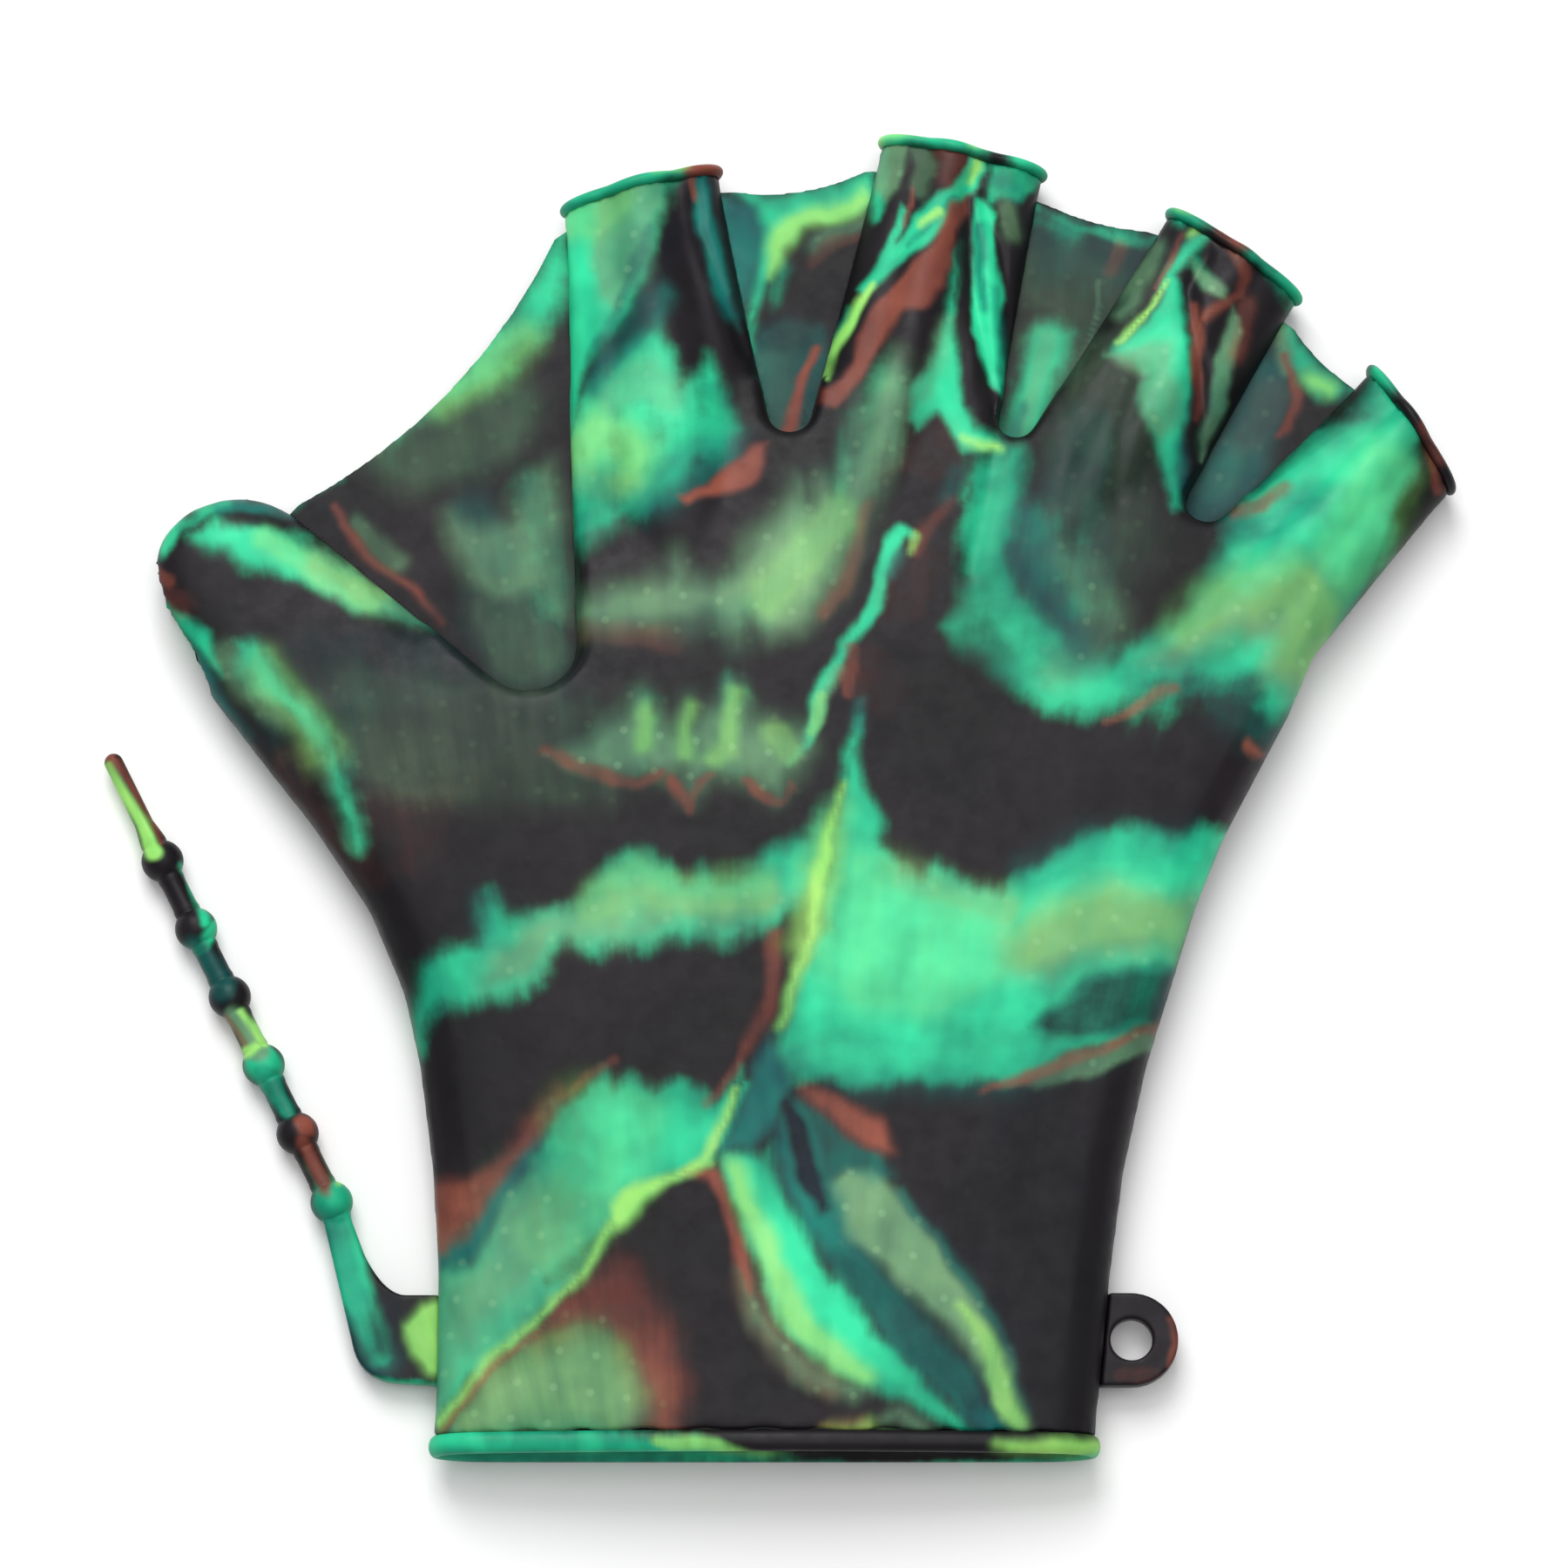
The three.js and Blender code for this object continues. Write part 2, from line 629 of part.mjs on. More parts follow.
const glove = new THREE.Group();
glove.name = 'webbed_swim_glove';
glove.add(piece('hand_shell', handShell(), silicone(GREEN, 0.55)));
for (const web of WEBS) {
  glove.add(piece(`web_${web.name}`, webPanel(web), silicone(OLIVE, 0.5)));
}
glove.add(piece('cuff_rim', wristRim(), silicone(BLACK, 0.5)));
for (const finger of FINGERS) {
  glove.add(piece(`rim_${finger.name}`, fingerRim(finger.name), silicone(BLACK, 0.5)));
}
glove.add(piece('wrist_strap', wristStrap(), silicone(GREEN, 0.5)));
glove.add(piece('strap_loop', strapLoop(), silicone(BLACK, 0.5)));

// The group moves so that the middle of the whole footprint is the origin.
const bounds = new THREE.Box3().setFromObject(glove);
const middle = bounds.getCenter(new THREE.Vector3());
glove.position.set(-middle.x, -middle.y, -bounds.min.z);

export default glove;
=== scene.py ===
# %% [markdown]
# # A webbed swim glove of marbled silicone
#
# The glove is one soft moulding: a hollow hand with open finger ends, flat webs between the fingers, rolled
# beads round every opening, a beaded strap and a tab with a hole. The CAD model holds the sizes. This
# lesson rounds its plain facets into soft silicone and then marbles it, which is where most of the looks
# are.

import math

import bmesh
import bpy
import numpy as np
from mathutils import Matrix, Vector, noise
from mathutils.bvhtree import BVHTree
from mathutils.kdtree import KDTree


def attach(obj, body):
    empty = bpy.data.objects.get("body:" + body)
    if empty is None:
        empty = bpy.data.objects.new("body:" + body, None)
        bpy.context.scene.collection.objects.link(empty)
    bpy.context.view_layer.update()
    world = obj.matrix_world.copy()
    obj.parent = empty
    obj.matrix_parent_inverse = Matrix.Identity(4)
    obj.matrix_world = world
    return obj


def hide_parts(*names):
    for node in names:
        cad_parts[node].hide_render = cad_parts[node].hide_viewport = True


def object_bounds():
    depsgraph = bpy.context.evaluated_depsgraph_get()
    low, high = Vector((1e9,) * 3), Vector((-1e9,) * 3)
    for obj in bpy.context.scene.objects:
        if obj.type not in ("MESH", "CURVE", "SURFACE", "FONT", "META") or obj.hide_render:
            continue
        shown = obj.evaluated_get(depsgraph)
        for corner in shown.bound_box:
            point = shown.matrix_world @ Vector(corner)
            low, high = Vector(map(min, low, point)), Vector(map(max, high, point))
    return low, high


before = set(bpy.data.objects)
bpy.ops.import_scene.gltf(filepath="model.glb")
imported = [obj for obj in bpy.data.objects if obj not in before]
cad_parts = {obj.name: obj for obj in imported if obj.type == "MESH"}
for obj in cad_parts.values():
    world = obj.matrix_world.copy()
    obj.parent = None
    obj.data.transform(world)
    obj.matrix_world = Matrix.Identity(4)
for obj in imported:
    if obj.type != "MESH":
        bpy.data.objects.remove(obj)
cad_low, cad_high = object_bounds()
MM = 0.001
print("CAD nodes:", sorted(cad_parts))

# %% [markdown]
# ## The view and the floor
#
# The glove lies flat and is seen almost straight down, from 78 degrees above the surface, with a long lens
# so that the near and the far end look the same size. A long lens far away is chosen over an orthographic
# camera because it also works for the views from the side.

# %% Camera
SEEN_FROM = math.radians(78)
LENS = 200
SENSOR = 36
FILL = 0.87
middle = (cad_low + cad_high) / 2
frame_width = max(cad_high.x - cad_low.x, cad_high.y - cad_low.y) / FILL
away = frame_width * LENS / SENSOR
back = Vector((0, -math.cos(SEEN_FROM), math.sin(SEEN_FROM)))
camera_data = bpy.data.cameras.new("camera")
camera_data.lens = LENS
camera_data.sensor_width = SENSOR
camera_data.clip_end = 20
camera = bpy.data.objects.new("camera", camera_data)
camera.location = middle + back * away
camera.rotation_mode = "QUATERNION"
camera.rotation_quaternion = (-back).to_track_quat("-Z", "Y")
bpy.context.scene.collection.objects.link(camera)
bpy.context.scene.camera = camera
print("camera", [round(v, 3) for v in camera.location])

# %% [markdown]
# A plain pale floor catches a faint shadow. It is one large square, which isn't part of the glove. It lies
# a little under the glove, so that the two never share a plane.

# %% Floor
def new_object(name, shape):
    """Turns a bmesh into an object of the scene, with its place in its mesh."""
    data = bpy.data.meshes.new(name)
    shape.to_mesh(data)
    shape.free()
    made = bpy.data.objects.new(name, data)
    bpy.context.scene.collection.objects.link(made)
    return made


def new_material(name):
    """A material with its Principled shader and an output, and nothing else."""
    made = bpy.data.materials.new(name)
    made.use_nodes = True
    return made, made.node_tree.nodes, made.node_tree.links


FLOOR_HALF = 3.0
FLOOR_DROP = 0.1 * MM
FLOOR_TONES = (0.93, 0.95)
shape = bmesh.new()
bmesh.ops.create_grid(shape, x_segments=1, y_segments=1, size=FLOOR_HALF)
bmesh.ops.translate(shape, verts=shape.verts, vec=(0, 0, -FLOOR_DROP))
floor = new_object("floor", shape)
floor_paint, nodes, links = new_material("floor_paper")
grain = nodes.new("ShaderNodeTexNoise")
grain.inputs["Scale"].default_value = 9
tone = nodes.new("ShaderNodeMapRange")
tone.inputs["To Min"].default_value, tone.inputs["To Max"].default_value = FLOOR_TONES
links.new(grain.outputs["Fac"], tone.inputs["Value"])
links.new(tone.outputs["Result"], nodes["Principled BSDF"].inputs["Base Color"])
nodes["Principled BSDF"].inputs["Roughness"].default_value = 0.9
nodes["Principled BSDF"].inputs["Specular IOR Level"].default_value = 0.1
floor.data.materials.append(floor_paint)
print("floor", floor.dimensions[:])

# %% [markdown]
# ## Studio light
#
# One very large soft box hangs over the fingertips' side, so that the lower edges of the webs and fingers
# fall into soft shade. A second box overhead and a white surround fill the rest. The picture is kept in
# plain sRGB: the film-like view would grey out the bright pigments.

# %% Light
def soft_box(name, place, aim, side, watts):
    """A square area light at a place, turned to a point."""
    data = bpy.data.lights.new(name, "AREA")
    data.shape = "SQUARE"
    data.size = side
    data.energy = watts
    made = bpy.data.objects.new(name, data)
    made.location = place
    made.rotation_mode = "QUATERNION"
    made.rotation_quaternion = (Vector(aim) - Vector(place)).to_track_quat("-Z", "Y")
    bpy.context.scene.collection.objects.link(made)
    return made


SURROUND = 0.45
soft_box("key_box", place=(-0.25, 1.0, 1.25), aim=(0, 0, 0), side=0.9, watts=16.5)
soft_box("top_box", place=(0.1, 0.1, 1.6), aim=(0, 0, 0), side=1.2, watts=9.2)
world = bpy.data.worlds.new("surround")
world.use_nodes = True
world.node_tree.nodes["Background"].inputs["Color"].default_value = (1, 1, 1, 1)
world.node_tree.nodes["Background"].inputs["Strength"].default_value = SURROUND
bpy.context.scene.world = world
bpy.context.scene.view_settings.view_transform = "Standard"

# %% [markdown]
# ## The hollow hand
#
# The CAD hand is a true hollow form with thin walls, but faceted. A copy is merged, covered with an even
# net of small quads by a voxel remesh, and smoothed, which rounds every facet and edge as moulded silicone
# is round. Lofting the fingers again by hand would lose the walls and the open ends that the CAD already
# has.

# %% Helpers for pieces made from a CAD node
SAME_SPOT = 0.002 * MM


def merged_node(node):
    """A CAD node's mesh as a bmesh, with its loose triangles joined. The node itself is never touched."""
    shape = bmesh.new()
    shape.from_mesh(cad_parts[node].data)
    bmesh.ops.remove_doubles(shape, verts=shape.verts, dist=SAME_SPOT)
    return shape


def with_modifier(made, kind, **settings):
    """Adds a modifier and applies it at once, so that the next step sees its result."""
    modifier = made.modifiers.new(kind.lower(), kind)
    for key, value in settings.items():
        setattr(modifier, key, value)
    graph = bpy.context.evaluated_depsgraph_get()
    result = bpy.data.meshes.new_from_object(made.evaluated_get(graph))
    made.modifiers.clear()
    made.data = result


def spots_of(made):
    """The vertices' places as rows of x, y, z."""
    rows = np.empty(len(made.data.vertices) * 3)
    made.data.vertices.foreach_get("co", rows)
    return rows.reshape(-1, 3)


def directions_of(made):
    """The vertices' outward directions as rows of x, y, z."""
    rows = np.empty(len(made.data.vertices) * 3)
    made.data.vertices.foreach_get("normal", rows)
    return rows.reshape(-1, 3)


def move_vertices(made, rows):
    made.data.vertices.foreach_set("co", rows.astype(np.float32).ravel())
    made.data.update()


def set_group(made, name, weights):
    """A vertex group from one weight for each vertex, in ten steps."""
    group = made.vertex_groups.new(name=name)
    steps = np.clip(np.round(np.asarray(weights) * 10), 0, 10).astype(int)
    for step in range(1, 11):
        group.add(np.flatnonzero(steps == step).tolist(), step / 10, "REPLACE")


def gaps_between(spots, others):
    """How far each spot is from the nearest of some other spots."""
    tree = KDTree(len(others))
    for number, spot in enumerate(others):
        tree.insert(spot, number)
    tree.balance()
    return np.array([tree.find(spot)[2] for spot in spots])


def surface_of(made):
    """A piece's surface as a tree that finds where a ray meets it, or its nearest point."""
    shape = bmesh.new()
    shape.from_mesh(made.data)
    tree = BVHTree.FromBMesh(shape)
    shape.free()
    return tree


def ways_to(surface, spots):
    """The way from each spot to the nearest point of a surface."""
    return np.array([surface.find_nearest(Vector(spot))[0] - Vector(spot) for spot in spots])


def from_segment(x, y, start, end):
    """How far each spot is from the straight line between two points, and its share of the way along."""
    (ax, ay), (bx, by) = start[:2], end[:2]
    run = (bx - ax) ** 2 + (by - ay) ** 2 + 1e-9
    share = np.clip(((x - ax) * (bx - ax) + (y - ay) * (by - ay)) / run, 0, 1)
    return np.hypot(x - ax - share * (bx - ax), y - ay - share * (by - ay)), share


def ramp(values, low, high):
    """0 under low, 1 over high, and a smooth rise between them."""
    share = np.clip((values - low) / (high - low), 0, 1)
    return share * share * (3 - 2 * share)


# %% The hand
HAND_NET = 0.68 * MM
hand = new_object("hand", merged_node("hand_shell"))
with_modifier(hand, "REMESH", mode="VOXEL", voxel_size=HAND_NET)
print("hand net", len(hand.data.polygons), "quads")

# %% [markdown]
# Smoothing pulls thin edges back, so the vertices near the rolled beads are held still, by a vertex group
# that grows from nothing at a bead to full a few millimetres away. The round end of the thumb is smoothed
# once more.

# %% Smooth the hand, but hold its ends
HELD = 1.2 * MM
FREE = 5 * MM
ROUNDS = 16
THUMB_FROM, THUMB_TO = -88 * MM, -80 * MM
THUMB_ROUNDS = 14
beads = ["cuff_rim", "rim_index", "rim_middle", "rim_ring", "rim_pinky"]
bead_spots = np.concatenate([spots_of(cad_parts[node]) for node in beads])
from_bead = gaps_between(spots_of(hand), bead_spots)
set_group(hand, "free", ramp(from_bead, HELD, FREE))
with_modifier(hand, "SMOOTH", factor=0.5, iterations=ROUNDS, vertex_group="free")
set_group(hand, "thumb", 1 - ramp(spots_of(hand)[:, 0], THUMB_FROM, THUMB_TO))
with_modifier(hand, "SMOOTH", factor=0.5, iterations=THUMB_ROUNDS, vertex_group="thumb")
print("held vertices", int((from_bead < HELD).sum()))

# %% [markdown]
# Each long finger has lengthwise folds, where the tapering tube was pressed flat. They are shallow furrows
# along lines on the upper side, drawn in millimetres. Both faces of the upper wall sink together, so that
# the wall keeps its thickness, which a groove cut into the outer face alone would not.

# %% Folds along the fingers
# How deep, how wide, and the points of its line, from the finger's end to its root.
FURROWS = [
    (0.9, 1.2, [(-13.9, 97.3), (-13.2, 87.5), (-9.5, 77.0), (-6.2, 68.0)]),
    (1.2, 1.2, [(30.6, 99.5), (28.3, 92.5), (29.3, 77.5), (33.0, 55.5)]),
    (0.8, 1.1, [(30.6, 92.5), (33.6, 85.0), (34.6, 72.0)]),
    (1.1, 1.2, [(67.6, 87.3), (62.5, 77.5), (64.3, 62.5), (64.6, 49.5)]),
    (0.6, 1.5, [(33.0, 55.0), (31.2, 44.0), (28.5, 32.0)]),
    (0.6, 1.6, [(55.5, 64.0), (52.0, 54.0), (50.5, 44.0)]),
]


def furrow_at(x, y, width, points):
    """1 on a broken line, and next to nothing from two widths away."""
    nearest = np.full(len(x), 1e9)
    for start, end in zip(points, points[1:]):
        nearest = np.minimum(nearest, from_segment(x, y, start, end)[0])
    return np.exp(-((nearest / width) ** 2))


spots = spots_of(hand)
level_wall = ramp(np.abs(directions_of(hand)[:, 2]), 0.2, 0.6)
upper = level_wall * ramp(spots[:, 2], 5 * MM, 8 * MM)
off_bead = ramp(from_bead, 0.5 * MM, 4 * MM)
sink = np.zeros(len(spots))
for depth, width, points in FURROWS:
    sink = np.maximum(sink, depth * furrow_at(spots[:, 0] / MM, spots[:, 1] / MM, width, points))
spots[:, 2] -= sink * upper * off_bead * MM
move_vertices(hand, spots)
print("furrowed vertices", int((sink * upper > 0.1).sum()))

# %% [markdown]
# The pattern is painted on the vertices later, so the upper side keeps its fine net. The inside and the
# underside get fewer, larger triangles, except at the tip of the thumb. A vertex is on the upper side if a
# ray straight up from it meets nothing.

# %% Thin out the net where it isn't seen
DOWNWARD = -0.3
RAY_LIFT, RAY_REACH = 0.05 * MM, 100 * MM


def seen_from_above(made):
    """1 for each vertex with open sky over it, 0 for the others."""
    surface = surface_of(made)
    spots, ways = spots_of(made), directions_of(made)
    open_sky = np.zeros(len(spots))
    for number, (spot, way) in enumerate(zip(spots, ways)):
        if way[2] > DOWNWARD:
            start = Vector(spot) + Vector(way) * RAY_LIFT
            open_sky[number] = surface.ray_cast(start, Vector((0, 0, 1)), RAY_REACH)[0] is None
    return open_sky


THUMB_TIP_FROM, THUMB_TIP_TO = -90 * MM, -84 * MM
KEPT_SHARE = 0.37
hidden = (1 - seen_from_above(hand)) * ramp(spots_of(hand)[:, 0], THUMB_TIP_FROM, THUMB_TIP_TO)
set_group(hand, "hidden", hidden)
with_modifier(hand, "DECIMATE", ratio=KEPT_SHARE, vertex_group="hidden", vertex_group_factor=10.0)
print("hand triangles", sum(len(p.vertices) - 2 for p in hand.data.polygons))

# %% [markdown]
# ## The flat webs
#
# A web is a flat panel of silicone a millimetre and a half thick. Its edge is crisp but not sharp, so a
# finer net is enough to round it. The CAD leaves a small gap to the fingers, so every spot near one is
# drawn to the nearest spot of the hand, and a little into it. Growing the panel all round would leave its
# corners standing.

# %% Webs
WEB_NET = 0.42 * MM
WEB_ROUNDS = 3
SEAT_DEPTH = 0.4 * MM
NEAR_HAND, OFF_HAND = 0.9 * MM, 2.0 * MM
hand_surface = surface_of(hand)
web_names = ["web_thumb_index", "web_index_middle", "web_middle_ring", "web_ring_pinky"]
webs = {}
for node in web_names:
    web = new_object(node + "_panel", merged_node(node))
    with_modifier(web, "REMESH", mode="VOXEL", voxel_size=WEB_NET)
    with_modifier(web, "SMOOTH", factor=0.5, iterations=WEB_ROUNDS)
    spots = spots_of(web)
    ways = ways_to(hand_surface, spots)
    gaps = np.linalg.norm(ways, axis=1)
    level = ways * [1, 1, 0]
    level /= np.maximum(np.linalg.norm(level, axis=1), 1e-6)[:, None]
    pull = (gaps + SEAT_DEPTH) * (1 - ramp(gaps, NEAR_HAND, OFF_HAND))
    move_vertices(web, spots + level * pull[:, None])
    webs[node] = web
    print(web.name, len(web.data.polygons), "quads")

# %% [markdown]
# ## The rolled beads
#
# Every opening ends in a thin rolled bead. The CAD bead has six flat sides. Pairs of its triangles are
# joined back into quads, it is seated on the hand's end and made a little stouter, and two rounds of
# subdivision turn it into a smooth roll.

# %% Beads round the openings
BEAD_GROWTH = 0.18 * MM
SEAT_SHIFT = 0.7 * MM
rolls = {}
for node in beads:
    shape = merged_node(node)
    bmesh.ops.join_triangles(shape, faces=shape.faces, angle_face_threshold=0.6, angle_shape_threshold=1.2)
    roll = new_object(node + "_roll", shape)
    spots = spots_of(roll)
    to_hand = ways_to(hand_surface, spots).mean(axis=0)
    spots = spots + to_hand / np.linalg.norm(to_hand) * SEAT_SHIFT
    move_vertices(roll, spots + directions_of(roll) * BEAD_GROWTH)
    with_modifier(roll, "SUBSURF", levels=2, render_levels=2)
    rolls[node] = roll
    print(roll.name, len(roll.data.polygons), "faces")

# %% [markdown]
# ## The beaded strap
#
# Six balls sit on a thin neck, and a thin tail ends in a round tip. All of it is round about one line, so
# half its outline is drawn once and spun. The fillets where a ball meets its neck come from a few extra
# points. The first ball is whole, since the strap's foot leaves it at another angle.

# %% Strap of beads
STRAP_FOOT = Vector((-68.86, -64.03, 3.25)) * MM
STRAP_WAY = math.radians(116.6)
BALL = 3.25 * MM
BALL_TURN = math.radians(52)
NECK = 1.9 * MM
TAIL = 1.45 * MM
PITCH = 11.85 * MM
TAIL_REACH = 18.7 * MM
BALLS = 6
SPIN_STEPS = 28
# How far from a ball's middle, in ball radii, and how wide there, in neck radii.
FILLET = [(1.25, 1.01), (1.0, 1.08)]
TAIL_STARTS = 2.0 * BALL


def spin_outline(outline, steps):
    """Spins points (distance along Z, radius) once round Z into a closed skin."""
    shape = bmesh.new()
    row = [shape.verts.new((radius, 0, along)) for along, radius in outline]
    edges = [shape.edges.new(pair) for pair in zip(row, row[1:])]
    bmesh.ops.spin(
        shape, geom=row + edges, cent=(0, 0, 0), axis=(0, 0, 1),
        angle=2 * math.pi, steps=steps, use_merge=True, use_duplicate=False,
    )
    bmesh.ops.remove_doubles(shape, verts=shape.verts, dist=0.001 * MM)
    bmesh.ops.recalc_face_normals(shape, faces=shape.faces)
    return shape


outline = [(-BALL, 0)]
for ball in range(BALLS):
    height = ball * PITCH
    if ball > 0:
        outline += [(height - reach * BALL, width * NECK) for reach, width in FILLET]
    for step in range(-6 if ball > 0 else -10, 7):
        turn = step / 6 * BALL_TURN
        outline.append((height + BALL * math.sin(turn), BALL * math.cos(turn)))
    outline += [(height + reach * BALL, width * NECK) for reach, width in reversed(FILLET)]
last = (BALLS - 1) * PITCH
outline.append((last + TAIL_STARTS, TAIL))
for step in range(7):
    turn = step / 6 * math.pi / 2
    outline.append((last + TAIL_REACH - TAIL + TAIL * math.sin(turn), TAIL * math.cos(turn)))
shape = spin_outline(outline, SPIN_STEPS)
turned = Matrix.Rotation(STRAP_WAY, 4, "Z") @ Matrix.Rotation(math.pi / 2, 4, "Y")
bmesh.ops.transform(shape, matrix=Matrix.Translation(STRAP_FOOT) @ turned, verts=shape.verts)
bmesh.ops.subdivide_edges(shape, edges=shape.edges, cuts=1, use_grid_fill=True)
strap_beads = new_object("strap_beads", shape)
print("strap_beads", len(strap_beads.data.polygons), "faces")

# %% [markdown]
# The strap's foot is a flat lug that bends into the beads. It is the one part of the strap that isn't
# round, so it comes from the CAD node: everything past the first ball is cut off, and the rest is remeshed
# and rounded. The cut lies inside the ball, where it doesn't show.

# %% Strap foot
FOOT_NET = 0.3 * MM
EDGE_ROUNDS = 8
shape = merged_node("wrist_strap")
along = Vector((math.cos(STRAP_WAY), math.sin(STRAP_WAY), 0))
bmesh.ops.bisect_plane(
    shape, geom=shape.verts[:] + shape.edges[:] + shape.faces[:], dist=0.0001 * MM,
    plane_co=STRAP_FOOT + along * (0.3 * BALL), plane_no=along, clear_outer=True,
)
open_edges = [e for e in shape.edges if e.is_boundary]
bmesh.ops.holes_fill(shape, edges=open_edges, sides=0)
strap_foot = new_object("strap_foot", shape)
with_modifier(strap_foot, "REMESH", mode="VOXEL", voxel_size=FOOT_NET)
with_modifier(strap_foot, "SMOOTH", factor=0.5, iterations=EDGE_ROUNDS)
print("strap_foot", len(strap_foot.data.polygons), "quads")

# %% [markdown]
# ## The tab with the hole
#
# A flat tab with a round end and a round hole takes the strap. It is a copy of the CAD tab in a still finer
# net, so that smoothing rolls over the edges of the tab and of its hole but keeps both of them round.

# %% Tab
TAB_NET = 0.25 * MM
TAB_SWELL = 0.1 * MM
tab = new_object("loop_tab", merged_node("strap_loop"))
with_modifier(tab, "REMESH", mode="VOXEL", voxel_size=TAB_NET)
with_modifier(tab, "SMOOTH", factor=0.5, iterations=EDGE_ROUNDS)
move_vertices(tab, spots_of(tab) + directions_of(tab) * TAB_SWELL)
print("loop_tab", len(tab.data.polygons), "quads")
